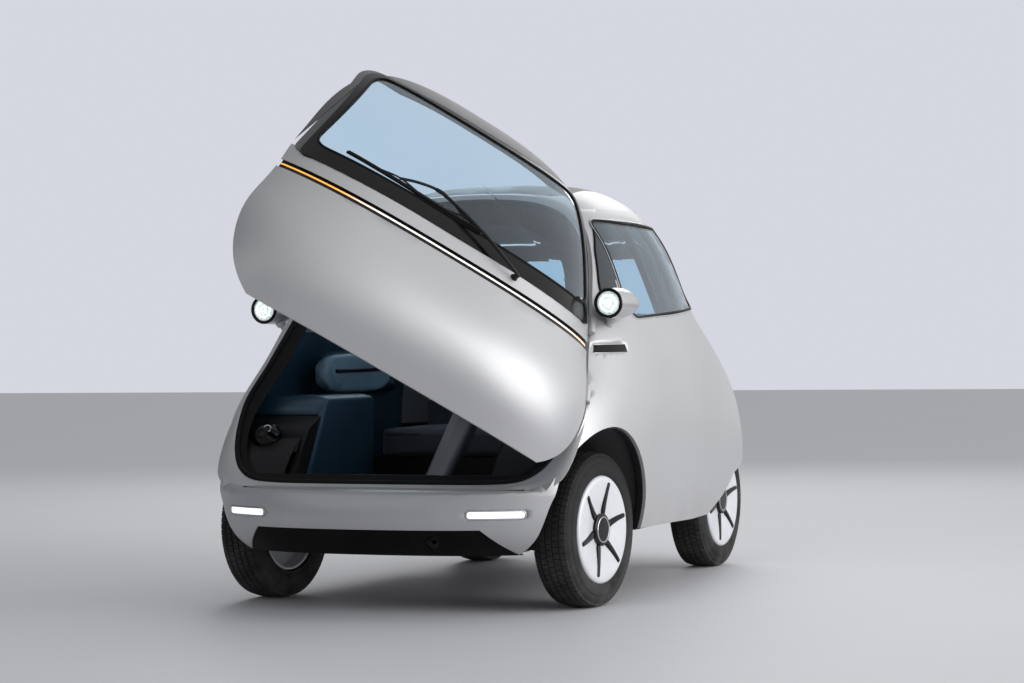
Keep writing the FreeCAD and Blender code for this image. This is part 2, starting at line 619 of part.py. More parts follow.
def lid_nodes():
    """Rear lid with its glass and light bar, closed."""
    lid = shell.common(rear_prism(LID_BOTTOM, LID_TOP, LID_CORNER))
    glass_hole = rear_prism(REAR_GLASS_BOTTOM, REAR_GLASS_TOP, REAR_GLASS_CORNER)
    light = layer(LID_LIGHT_Z - LID_LIGHT_HEIGHT / 2, LID_LIGHT_Z + LID_LIGHT_HEIGHT / 2)
    light_zone = box(-LID_LIGHT_HALF, LID_LIGHT_HALF, LID_LIGHT_START_Y, BIG, -BIG, BIG).common(light)
    bar = outer.cut(under_skin).common(light_zone)
    return {"rear_lid_frame": lid.cut(glass_hole).cut(bar), "rear_glass": glass_shell.common(glass_hole),
            "lid_light_bar": bar}


def revolved(points, centre):
    """Ring about the X axis from outline points."""
    wire = Part.makePolygon([centre + V(point.along, 0, point.radius) for point in points + [points[0]]])
    return Part.Face(wire).revolve(centre, V(1, 0, 0), 360)


def wheel_shapes(centre):
    """Tyre and wheel with a domed cover and narrow spokes, outer side at +X."""
    spokes = []
    for index in range(SPOKE_COUNT):
        spoke = box(*SPOKE_FACES, -SPOKE_WIDTH / 2, SPOKE_WIDTH / 2, *SPOKE_REACH)
        spoke.rotate(V(0, 0, 0), V(1, 0, 0), FIRST_SPOKE_DEG + 360.0 / SPOKE_COUNT * index)
        spoke.translate(centre)
        spokes.append(spoke)
    return revolved(TYRE_OUTLINE, centre), pieces(revolved(WHEEL_OUTLINE, centre).fuse(spokes))


def knuckle(centre):
    """Steering knuckle with stub axle, backing plate and kingpin, left side, wheels straight."""
    inner_face, outer_face = (KINGPIN_X + x for x in BACKING_PLATE_FACES)
    plate = rod(V(inner_face, 0, centre.z), V(outer_face, 0, centre.z), BACKING_PLATE_RADIUS)
    stub_end = centre.x + HUB_BORE_FACE + HUB_BORE_DEPTH
    stub = rod(V(outer_face, 0, centre.z), V(stub_end, 0, centre.z), STUB_RADIUS)
    inner_face, outer_face = (KINGPIN_X + x for x in UPRIGHT_FACES)
    upright = box(inner_face, outer_face, -UPRIGHT_HALF_DEPTH, UPRIGHT_HALF_DEPTH,
                  LOWER_ARM_Z + UPRIGHT_END_GAP, UPPER_ARM_Z - UPRIGHT_END_GAP)
    pin = rod(V(KINGPIN_X, 0, LOWER_ARM_Z - KINGPIN_REACH), V(KINGPIN_X, 0, UPPER_ARM_Z + KINGPIN_REACH),
              KINGPIN_RADIUS - RUNNING_GAP)
    return pieces(plate.fuse([stub, upright, pin]))


def arm_shape(z, inner_x, inner_z):
    """Wishbone from two inner points to an eye around the kingpin."""
    eye, bore = (rod(V(KINGPIN_X, 0, z - half), V(KINGPIN_X, 0, z + half), radius)
                 for half, radius in ((ARM_EYE_HALF_HEIGHT, ARM_EYE_RADIUS),
                                      (2 * ARM_EYE_HALF_HEIGHT, KINGPIN_RADIUS)))
    legs = [rod(V(KINGPIN_X - KINGPIN_RADIUS, 0, z), V(inner_x, y, inner_z), ARM_LEG_RADIUS)
            for y in (-ARM_SPREAD, ARM_SPREAD)]
    return eye.fuse(legs).cut(bore)


def suspension_nodes(rear):
    """Front wishbones and struts, and the rear axle with its arms and springs."""
    half_long, half_wide, tall = CROSS_MEMBER
    member = box(-half_long, half_long, -half_wide, half_wide, FLOOR_Z - tall, FLOOR_Z)
    lower = arm_shape(LOWER_ARM_Z, *LOWER_ARM_ROOT).cut(member)
    between_liners = box(-LINER_WALL_X, LINER_WALL_X, -BIG, BIG, -BIG, BIG)
    upper = arm_shape(UPPER_ARM_Z, *UPPER_ARM_ROOT).cut(between_liners)
    strut = rod(STRUT_FOOT, STRUT_HEAD, STRUT_ROD_RADIUS).fuse(rod(STRUT_SLEEVE_FOOT, STRUT_HEAD,
                                                                   STRUT_SLEEVE_RADIUS))
    strut = strut.common(Part.makeCylinder(ARCH_RADIUS - LINER_THICKNESS, 2 * BIG, V(-BIG, *ARCH_CENTRE),
                                           V(1, 0, 0)))
    front_set = member.fuse([lower, mirrored(lower)])
    upper_left, strut_left = pieces(upper.cut(strut)), pieces(strut.cut(lower))
    front = Part.makeCompound(front_set.Solids + [upper_left, mirrored(upper_left), strut_left,
                                                  mirrored(strut_left)])
    half_axle = rear.x + HUB_BORE_FACE + HUB_BORE_DEPTH
    tube = rod(V(-half_axle, rear.y, rear.z), V(half_axle, rear.y, rear.z), STUB_RADIUS)
    bush_y, bush_z = REAR_ARM_FRONT
    drum_inner, drum_outer = (rear.x - inset for inset in DRUM_INSETS)
    arms = both(Part.makeCompound([
        rod(V(REAR_ARM_X, rear.y, rear.z), V(REAR_ARM_X, bush_y, bush_z), REAR_ARM_RADIUS),
        rod(V(REAR_ARM_X - REAR_BUSH_HALF, bush_y, bush_z), V(REAR_ARM_X + REAR_BUSH_HALF, bush_y, bush_z),
            REAR_BUSH_RADIUS),
        rod(V(drum_inner, rear.y, rear.z), V(drum_outer, rear.y, rear.z), DRUM_RADIUS)]))
    axle = tube.fuse(arms.Solids)
    back, up = SPRING_OFFSET
    spring = rod(V(REAR_ARM_X, rear.y + back, rear.z + up), V(REAR_ARM_X, rear.y + back, LOAD_FLOOR_Z),
                 SPRING_RADIUS)
    return {"front_suspension": front, "rear_axle": axle, "rear_springs": both(spring).cut(axle)}


def floor_nodes():
    """Floor, towing tube, bulkhead, load floor, arch covers, battery and motor."""
    top, load_top = FLOOR_Z + FLOOR_THICKNESS, LOAD_FLOOR_Z + LOAD_FLOOR_THICKNESS
    well_x, well_rear_y = WHEEL_WELL
    well = both(box(well_x, BIG, -BIG, well_rear_y, -BIG, BIG))
    floor = box(-BIG, BIG, FLOOR_FRONT_Y, BULKHEAD_Y, FLOOR_Z, top).common(cabin).cut(well)
    bulkhead = box(-BIG, BIG, BULKHEAD_Y - BULKHEAD_THICKNESS, BULKHEAD_Y, top, load_top).common(cabin)
    load = box(-BIG, BIG, BULKHEAD_Y, LOAD_FLOOR_REAR_Y, LOAD_FLOOR_Z, load_top)
    load = load.common(section_body(BODY_SECTIONS, WALL + LOAD_FLOOR_EDGE_GAP))
    (pad_x, pad_y), (long, deep, tall) = JACK_PAD_PLACE, JACK_PAD_SIZE
    pads = both(box(pad_x - long / 2, pad_x + long / 2, pad_y - deep / 2, pad_y + deep / 2,
                    FLOOR_Z - tall, FLOOR_Z))
    cover = side_prism(ARCH_COVER, ARCH_COVER_X, BIG).common(cabin).common(slab(-BIG, -SEAL_DEPTH - 2.0))
    liner_form, wheel_room = (
        Part.makeCylinder(ARCH_RADIUS - inset, BIG, V(LINER_WALL_X, *ARCH_CENTRE), V(1, 0, 0))
        for inset in (SEAT_GAP, LINER_THICKNESS))
    liner = liner_form.cut(wheel_room).common(under_skin).common(layer(LOWER_EDGE[0][1], BIG)).cut(cover)
    long, deep, tall = BATTERY_SIZE
    battery = box(-long / 2, long / 2, BATTERY_FRONT_Y, BATTERY_FRONT_Y + deep, top, top + tall)
    long, deep, tall = MOTOR_SIZE
    motor_top = MOTOR_BOTTOM_Z + tall
    motor = box(-long / 2, long / 2, MOTOR_REAR_Y - deep, MOTOR_REAR_Y, MOTOR_BOTTOM_Z, motor_top)
    straps = both(box(*MOTOR_STRAP, motor_top, LOAD_FLOOR_Z))
    x, z = TOW_SOCKET
    tube = rod(V(x, TOW_SOCKET_FACE_Y, z), V(x, FLOOR_FRONT_Y + TOW_TUBE_OVERLAP, z), TOW_TUBE_RADIUS)
    bore = rod(V(x, TOW_SOCKET_FACE_Y, z), V(x, TOW_SOCKET_FACE_Y + TOW_BORE_DEPTH, z), TOW_BORE_RADIUS)
    return {"floor_pan": pieces(floor.fuse(pads.Solids)), "tow_tube": tube.cut(bore).cut(floor),
            "rear_bulkhead": bulkhead, "load_floor": load,
            "arch_covers": both(pieces(cover.cut(liner_form))), "arch_liners": both(pieces(liner)),
            "battery_pack": battery, "drive_motor": pieces(motor.fuse([straps]))}


def seat_nodes():
    """Hollow seat base, bench cushion and leaning backrest."""
    half, rear = SEAT_WIDTH / 2, BULKHEAD_Y - BULKHEAD_THICKNESS
    floor_top, wall = FLOOR_Z + FLOOR_THICKNESS, SEAT_BASE_WALL
    base = box(-half, half, SEAT_FRONT_Y, rear, floor_top, SEAT_BASE_TOP_Z)
    base = base.cut(box(-half + wall, half - wall, SEAT_FRONT_Y + wall, rear,
                        floor_top, SEAT_BASE_TOP_Z - wall))
    low, high = SEAT_BASE_TOP_Z + SEAT_GAP, SEAT_BASE_TOP_Z + CUSHION_HEIGHT
    cushion = box(-half, half, SEAT_FRONT_Y - CUSHION_OVERHANG, CUSHION_REAR_Y, low, high)
    cushion = cushion.makeFillet(CUSHION_EDGE, [e for e in cushion.Edges if e.Length > SEAT_WIDTH - 1])
    front, rear, high = CUSHION_REAR_Y + SEAT_GAP, rear - SEAT_GAP, high + SEAT_GAP
    top_front, top_rear = BACKREST_TOP
    back = side_prism(((front, low), (rear, low), (rear, high), (top_rear, BACKREST_TOP_Z),
                       (top_front, BACKREST_TOP_Z), (front, high)), -half, half).common(trimmed_fit)
    return {"seat_base": base, "seat_cushion": cushion, "seat_back": back}


def side_trims():
    """Linings of the cabin's sides, each with an oval armrest and its slot."""
    trims = cabin.cut(trimmed).common(layer(TRIM_BOTTOM_Z, TRIM_TOP_Z)).common(slab(-BIG, -SEAL_DEPTH - 2.0))
    trims = trims.common(box(-BIG, BIG, -BIG, BULKHEAD_Y - BULKHEAD_THICKNESS - SEAT_GAP, -BIG, BIG))
    trims = trims.cut(both(side_prism(ARCH_COVER, ARCH_COVER_X - 1, BIG))).cut(arch)
    y, z = ARMREST_CENTRE
    wide, tall = ARMREST_SIZE[0] / 2, ARMREST_SIZE[1] / 2
    slot_wide = wide - ARMREST_SLOT_END
    oval, slot = (
        rectangle((y - a, y + a), (z - u, z + u), u * ROUND_END, lambda a, u: V(0, a, u), V(BIG, 0, 0))
        for a, u in ((wide, tall), (slot_wide, ARMREST_SLOT_HALF)))
    return {"side_trims": trims.fuse(trimmed.cut(armrest_form).common(both(oval)).cut(both(slot)))}


def column_nodes():
    """Steering column and the bar that carries it."""
    axis = (COLUMN_HEAD - COLUMN_FOOT).normalize()
    length = (COLUMN_HEAD - COLUMN_FOOT).Length - COLUMN_TOP_GAP
    post = Part.makeBox(COLUMN_WIDTH, COLUMN_DEPTH, length, V(-COLUMN_WIDTH / 2, -COLUMN_DEPTH / 2, 0))
    post = post.makeFillet(COLUMN_CORNER, [e for e in post.Edges if e.Length > length - 1])
    lean = FreeCAD.Placement(COLUMN_FOOT - axis * COLUMN_SINK, FreeCAD.Rotation(V(0, 0, 1), axis))
    post.Placement = lean.multiply(post.Placement)
    post = post.common(layer(FLOOR_Z + FLOOR_THICKNESS + SEAT_GAP, BIG))
    shaft = rod(*(COLUMN_HEAD - axis * below for below in COLUMN_SHAFT), COLUMN_SHAFT_RADIUS)
    bar = rod(V(-BIG, *DASH_BAR), V(BIG, *DASH_BAR), DASH_BAR_RADIUS).common(trimmed_fit)
    return {"steering_column": pieces(post.fuse([shaft])), "dash_bar": bar.cut(post)}


def steering_wheel_node():
    """Rim, hub and spokes across the column's axis."""
    axis = (COLUMN_HEAD - COLUMN_FOOT).normalize()
    rim = Part.makeTorus(STEERING_WHEEL_RADIUS, STEERING_RIM_RADIUS, COLUMN_HEAD, axis)
    hub = rod(*(COLUMN_HEAD + axis * face for face in STEERING_HUB_FACES), STEERING_HUB_RADIUS)
    turn = FreeCAD.Rotation(V(0, 0, 1), axis)
    spokes = []
    for angle in STEERING_SPOKES_DEG:
        out = turn.multVec(V(math.cos(math.radians(angle)), math.sin(math.radians(angle)), 0))
        spokes.append(rod(COLUMN_HEAD + out * STEERING_SPOKE_START, COLUMN_HEAD + out * STEERING_WHEEL_RADIUS,
                          STEERING_SPOKE_RADIUS))
    return {"steering_wheel": pieces(hub.fuse([rim] + spokes))}


FRONT_WHEEL = V(FRONT_TYRE_FACE_X - TYRE_WIDTH / 2, 0, TYRE_RADIUS)
REAR_WHEEL = V(REAR_TYRE_FACE_X - TYRE_WIDTH / 2, WHEELBASE, TYRE_RADIUS)

bodies = {"root": {}, "door": {}, "rear_lid": {}, "knuckle_left": {}, "knuckle_right": {},
          "steering_wheel": {}, "wheel_front_left": {}, "wheel_front_right": {},
          "wheel_rear_left": {}, "wheel_rear_right": {}}
for group in (body_nodes(), front_nodes(), headlamp_nodes(), floor_nodes(), seat_nodes(), side_trims(),
              column_nodes(), suspension_nodes(REAR_WHEEL)):
    bodies["root"].update(group)
bodies["steering_wheel"] = steering_wheel_node()
bodies["rear_lid"] = lid_nodes()
bodies["door"] = door_nodes()
for end, centre in (("front", FRONT_WHEEL), ("rear", REAR_WHEEL)):
    for kind, shape in zip(("tyre", "wheel"), wheel_shapes(centre)):
        bodies[f"wheel_{end}_left"][f"{kind}_{end}_left"] = shape
        bodies[f"wheel_{end}_right"][f"{kind}_{end}_right"] = mirrored(shape)
bodies["knuckle_left"]["knuckle_left"] = knuckle(FRONT_WHEEL)
bodies["knuckle_right"]["knuckle_right"] = mirrored(knuckle(FRONT_WHEEL))

# Hinge barrels sit in the panel edges on each side of their gap
door_barrels = Part.makeCompound(hinge_barrels())
door_sleeves = Part.makeCompound([barrel.makeOffsetShape(RUNNING_GAP, 0.01) for barrel in hinge_barrels()])
LID_AXIS = lid_axis()
lid_barrels = both(lid_barrel(0.0))
lid_sleeves = both(lid_barrel(RUNNING_GAP))
for name in ("side_panel_left", "opening_seal", "roof_frame"):
    bodies["root"][name] = bodies["root"][name].cut(door_barrels)
for name in ("side_panel_left", "side_panel_right", "roof_frame"):
    bodies["root"][name] = bodies["root"][name].cut(lid_barrels)
for name in ("door_lower_panel", "door_belt_panel", "windscreen_frame", "door_lining", "door_light_bar",
             "windscreen_border"):
    bodies["door"][name] = bodies["door"][name].cut(door_sleeves)
bodies["rear_lid"]["rear_lid_frame"] = bodies["rear_lid"]["rear_lid_frame"].cut(lid_sleeves)
bodies["root"]["hinge_barrels"] = Part.makeCompound(door_barrels.Solids + lid_barrels.Solids)

# Parked pose: the door open and the front wheels turned
turned = {"door": (HINGE_POINT, HINGE_DIRECTION, DOOR_OPEN_DEG)}
for side, sign in (("left", 1), ("right", -1)):
    for body in (f"knuckle_{side}", f"wheel_front_{side}"):
        turned[body] = (V(sign * KINGPIN_X, 0, 0), V(0, 0, 1), REST_STEER_DEG)
parts = {}
for body, group in bodies.items():
    for name, shape in group.items():
        shape = pieces(shape).copy()
        if body in turned:
            shape.rotate(*turned[body])
        parts[name] = shape

# The origin moves under the middle of the whole car
extent = [shape.optimalBoundingBox() for shape in parts.values()]
ORIGIN_Y = (min(b.YMin for b in extent) + max(b.YMax for b in extent)) / 2
for shape in parts.values():
    shape.translate(V(0, -ORIGIN_Y, 0))

os.makedirs("parts", exist_ok=True)
for name, shape in parts.items():
    shape.exportStep(f"parts/{name}.step")
    litres = shape.Volume / 1e6
    print(f"{name:20s} solids {len(shape.Solids):2d}  litres {litres:8.3f}  valid {shape.isValid()}")
print(f"{len(parts)} nodes, origin {ORIGIN_Y:.3f} mm behind the front axle")
rear_face = parts["rear_bumper"].optimalBoundingBox().YMax + ORIGIN_Y
print(f"lid axis {LID_AXIS.y:.3f} {LID_AXIS.z:.3f}, rear face {rear_face:.3f}")
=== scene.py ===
"""Looks of a two-seat microcar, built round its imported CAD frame.

Metres, +Z up. The car faces -Y and its left side is at +X. The front door stands open at rest.
"""
import json
import logging
import math
from collections.abc import Callable, Sequence
from dataclasses import dataclass, field
from enum import Enum
from functools import cache

import bmesh
import bpy
import numpy as np
from mathutils import Matrix, Vector
from mathutils.bvhtree import BVHTree

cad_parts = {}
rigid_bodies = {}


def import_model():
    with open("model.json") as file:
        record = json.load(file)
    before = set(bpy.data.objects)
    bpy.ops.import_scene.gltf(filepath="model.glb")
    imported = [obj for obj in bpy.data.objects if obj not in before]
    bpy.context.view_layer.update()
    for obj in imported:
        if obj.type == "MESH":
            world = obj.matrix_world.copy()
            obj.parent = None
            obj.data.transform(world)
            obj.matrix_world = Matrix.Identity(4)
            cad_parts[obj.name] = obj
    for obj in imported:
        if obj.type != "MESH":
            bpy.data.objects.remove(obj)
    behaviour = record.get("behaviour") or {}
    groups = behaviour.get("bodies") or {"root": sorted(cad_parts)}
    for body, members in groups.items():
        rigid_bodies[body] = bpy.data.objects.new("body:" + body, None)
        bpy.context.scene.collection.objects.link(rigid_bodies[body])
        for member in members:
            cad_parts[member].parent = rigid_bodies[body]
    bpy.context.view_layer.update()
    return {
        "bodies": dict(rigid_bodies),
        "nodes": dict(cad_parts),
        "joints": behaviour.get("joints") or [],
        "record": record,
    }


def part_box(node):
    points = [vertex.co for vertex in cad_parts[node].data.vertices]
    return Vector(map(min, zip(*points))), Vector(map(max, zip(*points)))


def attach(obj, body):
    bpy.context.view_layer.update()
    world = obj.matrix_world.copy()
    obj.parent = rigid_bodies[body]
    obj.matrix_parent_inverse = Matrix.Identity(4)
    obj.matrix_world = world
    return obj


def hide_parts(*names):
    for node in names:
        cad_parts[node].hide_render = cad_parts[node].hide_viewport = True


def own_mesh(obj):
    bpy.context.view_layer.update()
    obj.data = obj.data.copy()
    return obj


LOG = logging.getLogger("microcar")

# The CAD origin lies this far behind the front axle
ORIGIN_BEHIND_AXLE = 0.454861
# The door's hinge axis and the angle that it stands open by
HINGE_POINT = Vector((0.6107, 0.0893 - ORIGIN_BEHIND_AXLE, 1.0))
HINGE_DIRECTION = Vector((-0.1693, 0.5989, 0.7833)).normalized()
DOOR_OPEN = math.radians(50.1)
# The front wheels' turn at rest, and how far out their kingpins stand
WHEEL_TURN = math.radians(-5.0)
KINGPIN_X = 0.575
# The door opening's slanted plane in the side view, from its foot to its head
OPENING_LOW = (-0.325, 0.467)
OPENING_HIGH = (0.394, 1.374)
# Width and distance behind the front axle of each pair of wheels, and the height of all axles
FRONT_WHEEL, REAR_WHEEL, AXLE_Z = (0.6055, 0.0), (0.4945, 1.566), 0.2666

SIDES = (("left", 1.0), ("right", -1.0))
MERGE_DISTANCE = 2e-5
SMOOTH_ANGLE = math.radians(34.0)
SHELL = 0.003
DUST = (0.26, 0.25, 0.24)

Point = Sequence[float]
Pair = tuple[float, float]
Pairs = Sequence[Pair]
Place = tuple[float, float, float]
Colour = tuple[float, float, float]
BMesh = bmesh.types.BMesh
Socket = bpy.types.NodeSocket


def vehicle(x: float, y: float, z: float) -> Vector:
    """Place measured back from the front axle, in the CAD frame."""
    return Vector((x, y - ORIGIN_BEHIND_AXLE, z))


def door_matrix() -> Matrix:
    """Matrix from the closed door to the open one."""
    turn = Matrix.Rotation(DOOR_OPEN, 4, HINGE_DIRECTION)
    return Matrix.Translation(HINGE_POINT) @ turn @ Matrix.Translation(-HINGE_POINT)


def door_pose(place: Vector) -> Vector:
    """Place on the closed door, moved to where the open door holds it."""
    return door_matrix() @ place


def door_turned(direction: Vector) -> Vector:
    """Direction on the closed door, turned with the open door."""
    return Matrix.Rotation(DOOR_OPEN, 3, HINGE_DIRECTION) @ direction


def opening_plane(x: float, up: float, lift: float = 0.0) -> Vector:
    """Place on the door opening's slanted plane.

    Args:
        x: Width from the middle.
        up: Distance along the slope from its foot.
        lift: Height above the plane, outwards.

    Returns:
        The place in the CAD frame.
    """
    rise = math.atan2(OPENING_HIGH[1] - OPENING_LOW[1], OPENING_HIGH[0] - OPENING_LOW[0])
    along, out = Vector((0.0, math.cos(rise), math.sin(rise))), Vector((0.0, -math.sin(rise), math.cos(rise)))
    return vehicle(x, *OPENING_LOW) + along * up + out * lift


# Shader node groups and finishes


class Sockets(Enum):
    """Socket types of node groups."""

    NUMBER = "NodeSocketFloat"
    COUNT = "NodeSocketInt"
    SHAPE = "NodeSocketGeometry"
    MATERIAL = "NodeSocketMaterial"
    OBJECT = "NodeSocketObject"


class Tree:
    """A node tree under construction, with short calls for nodes and links."""

    def __init__(self, tree: bpy.types.NodeTree) -> None:
        """Takes the tree to fill."""
        self.tree = tree

    def node(self, kind: str, settings: dict | None = None, **values: object) -> bpy.types.Node:
        """Adds one node.

        Args:
            kind: The node's Blender type.
            settings: Attributes of the node, such as its operation.
            **values: Input sockets by name, with underscores for spaces, each a value or a socket.

        Returns:
            The new node.
        """
        made = self.tree.nodes.new(kind)
        for key, value in (settings or {}).items():
            setattr(made, key, value)
        for key, value in values.items():
            numbered = key[0] == "i" and key[1:].isdigit()
            self.feed(made.inputs[int(key[1:]) if numbered else key.replace("_", " ")], value)
        return made

    def feed(self, socket: Socket, value: object) -> None:
        """Links a socket, or sets its plain value.

        Args:
            socket: The input socket.
            value: A value, or the output socket to link.
        """
        if isinstance(value, Socket):
            self.tree.links.new(value, socket)
        else:
            socket.default_value = value

    def math(self, operation: str, first: object, second: object = 0.0) -> Socket:
        """Result of one Math node."""
        return self.node("ShaderNodeMath", {"operation": operation}, i0=first, i1=second).outputs[0]

    def spread(self, value: object, low: float, high: float, start: float = 0.0, end: float = 1.0) -> Socket:
        """Value mapped from one range to another and clamped."""
        made = self.node("ShaderNodeMapRange", {}, Value=value, From_Min=low, From_Max=high, To_Min=start, To_Max=end)
        return made.outputs["Result"]

    def mix(self, factor: object, first: object, second: object) -> Socket:
        """Blend of two colours.

        Args:
            factor: Share of the second colour.
            first: The colour at 0.
            second: The colour at 1.

        Returns:
            The blend's socket.
        """
        made = self.node("ShaderNodeMix", {"data_type": "RGBA"})
        for index, value in ((0, factor), (6, first), (7, second)):
            self.feed(made.inputs[index], (*value, 1.0) if isinstance(value, tuple) else value)
        return made.outputs[2]

    def dot(self, first: object, second: object) -> Socket:
        """Dot product of two vectors."""
        made = self.node("ShaderNodeVectorMath", {"operation": "DOT_PRODUCT"}, i0=first, i1=second)
        return made.outputs["Value"]

    def place(self) -> Socket:
        """Object coordinates."""
        return self.node("ShaderNodeTexCoord").outputs["Object"]

    def noise(self, scale: object, detail: float) -> Socket:
        """Noise in Object coordinates."""
        return self.node("ShaderNodeTexNoise", {}, Vector=self.place(), Scale=scale, Detail=detail).outputs["Fac"]


def new_group(name: str, kind: str, inputs: dict[str, object],
              outputs: dict[str, Sockets]) -> tuple[Tree, dict[str, Socket], bpy.types.Node]:
    """Starts a node group with named sockets.

    Args:
        name: The group's name.
        kind: Its Blender tree type.
        inputs: First value or socket type by name.
        outputs: Socket type by name.

    Returns:
        The tree helper, the group's inputs and its output node.
    """
    group = bpy.data.node_groups.new(name, kind)
    for key, value in inputs.items():
        if isinstance(value, Sockets):
            group.interface.new_socket(key, in_out="INPUT", socket_type=value.value)
            continue
        socket = Sockets.COUNT if isinstance(value, int) else Sockets.NUMBER
        group.interface.new_socket(key, in_out="INPUT", socket_type=socket.value).default_value = value
    for key, socket in outputs.items():
        group.interface.new_socket(key, in_out="OUTPUT", socket_type=socket.value)
    tree = Tree(group)
    return tree, tree.node("NodeGroupInput").outputs, tree.node("NodeGroupOutput")


@cache
def grain_group() -> bpy.types.NodeTree:
    """Moulded grain: a height for bump and a slow shade for colour.

    Returns:
        The group.
    """
    tree, given, out = new_group("moulded_grain", "ShaderNodeTree", {"Scale": 900.0, "Shade Scale": 6.0},
                                 {"Height": Sockets.NUMBER, "Shade": Sockets.NUMBER})
    cells = tree.node("ShaderNodeTexVoronoi", {"feature": "SMOOTH_F1"}, Vector=tree.place(), Scale=given["Scale"])
    tree.feed(out.inputs["Height"], tree.math("ADD", cells.outputs["Distance"], tree.noise(given["Scale"], 3.0)))
    tree.feed(out.inputs["Shade"], tree.spread(tree.noise(given["Shade Scale"], 2.0), 0.3, 0.7))
    return tree.tree


@cache
def edge_scuff_and_highlight_group() -> bpy.types.NodeTree:
    """Edge mask along convex and concave edges, broken up by noise: scuffing on most finishes, a painted highlight on
    the cabin trims.

    Returns:
        The group.
    """
    tree, given, out = new_group("edge_scuff_and_highlight", "ShaderNodeTree", {"Radius": 0.002, "Amount": 0.5},
                                 {"Mask": Sockets.NUMBER})
    soft = tree.node("ShaderNodeBevel", {"samples": 4}, Radius=given["Radius"]).outputs["Normal"]
    plain = tree.node("ShaderNodeNewGeometry").outputs["Normal"]
    edge = tree.spread(tree.math("SUBTRACT", 1.0, tree.dot(soft, plain)), 0.02, 0.25)
    broken = tree.spread(tree.noise(70.0, 4.0), 0.42, 0.62)
    tree.feed(out.inputs["Mask"], tree.math("MULTIPLY", tree.math("MULTIPLY", edge, broken), given["Amount"]))
    return tree.tree


@cache
def dust_group() -> bpy.types.NodeTree:
    """Settled dust: a mask that fades out above a height.

    Returns:
        The group.
    """
    tree, given, out = new_group("settled_dust", "ShaderNodeTree", {"Height": 0.35, "Amount": 0.3},
                                 {"Mask": Sockets.NUMBER})
    up = tree.node("ShaderNodeSeparateXYZ", {}, Vector=tree.place()).outputs["Z"]
    low = tree.math("SUBTRACT", 1.0, tree.math("DIVIDE", up, given["Height"]))
    cloud = tree.math("MULTIPLY", tree.spread(low, 0.0, 1.0), tree.spread(tree.noise(9.0, 6.0), 0.35, 0.7))
    tree.feed(out.inputs["Mask"], tree.math("MULTIPLY", cloud, given["Amount"]))
    return tree.tree


class Sheet(Tree):
    """One material with its Principled shader."""

    def __init__(self, name: str) -> None:
        """Starts the material with its shader and output.

        Args:
            name: The material's name.
        """
        self.material = bpy.data.materials.new(name)
        self.material.use_nodes = True
        super().__init__(self.material.node_tree)
        self.tree.nodes.clear()
        self.shader = self.node("ShaderNodeBsdfPrincipled")
        self.node("ShaderNodeOutputMaterial", {}, Surface=self.shader.outputs[0])

    def group(self, maker: Callable[[], bpy.types.NodeTree], **values: object) -> dict[str, Socket]:
        """Outputs of a shared group that is given this material's own values."""
        return self.node("ShaderNodeGroup", {"node_tree": maker()}, **values).outputs

    def set(self, **values: object) -> None:
        """Feeds the shader's sockets by name, with underscores for spaces."""
        for key, value in values.items():
            self.feed(self.shader.inputs[key.replace("_", " ")], (*value, 1.0) if isinstance(value, tuple) else value)

    def rough(self, shade: object, low: float, high: float) -> None:
        """Roughness that follows a shade from 0 to 1."""
        self.set(Roughness=self.spread(shade, 0.0, 1.0, low, high))

    def bump(self, height: object, strength: float, distance: float, normal: Socket | None = None) -> None:
        """Normal from a height, over another normal if there is one.

        Args:
            height: The height's socket.
            strength: Strength of the bump.
            distance: Depth that a height of 1 stands for.
            normal: The normal below it, if any.
        """
        made = self.node("ShaderNodeBump", {}, Height=height, Strength=strength, Distance=distance)
        if normal is not None:
            self.feed(made.inputs["Normal"], normal)
        self.set(Normal=made.outputs[0])


class Slot(Enum):
    """Material slots of the record."""

    PAINT = "body_paint"
    BLACK = "black_plastic"
    ROOF = "roof_cloth"
    SEAL = "seal_rubber"
    GLASS = "window_glass"
    LENS = "lamp_lens"
    LIGHT_BAR = "light_bar"
    CHROME = "chrome_trim"
    MIRROR = "mirror_glass"
    TRIM = "cabin_trim"
    GREY = "cabin_grey"
    FABRIC = "seat_fabric"
    STEEL = "chassis_steel"
    CASE = "battery_case"
    TYRE = "tyre_rubber"
    COVER = "wheel_cover"
    RED = "lamp_red"


@dataclass(frozen=True)
class Finish:
    """A finish that builds its material once, with the record's slot that it stands for."""

    name: str
    slot: Slot
    colour: Colour

    def material(self) -> bpy.types.Material:
        """The finish's material, made on first use.

        Returns:
            The material.
        """
        found = bpy.data.materials.get(f"finish_{self.name}")
        if found:
            return found
        sheet = Sheet(f"finish_{self.name}")
        self.build(sheet)
        return sheet.material

    def build(self, sheet: Sheet) -> None:
        """Fills the material's tree."""
        raise NotImplementedError


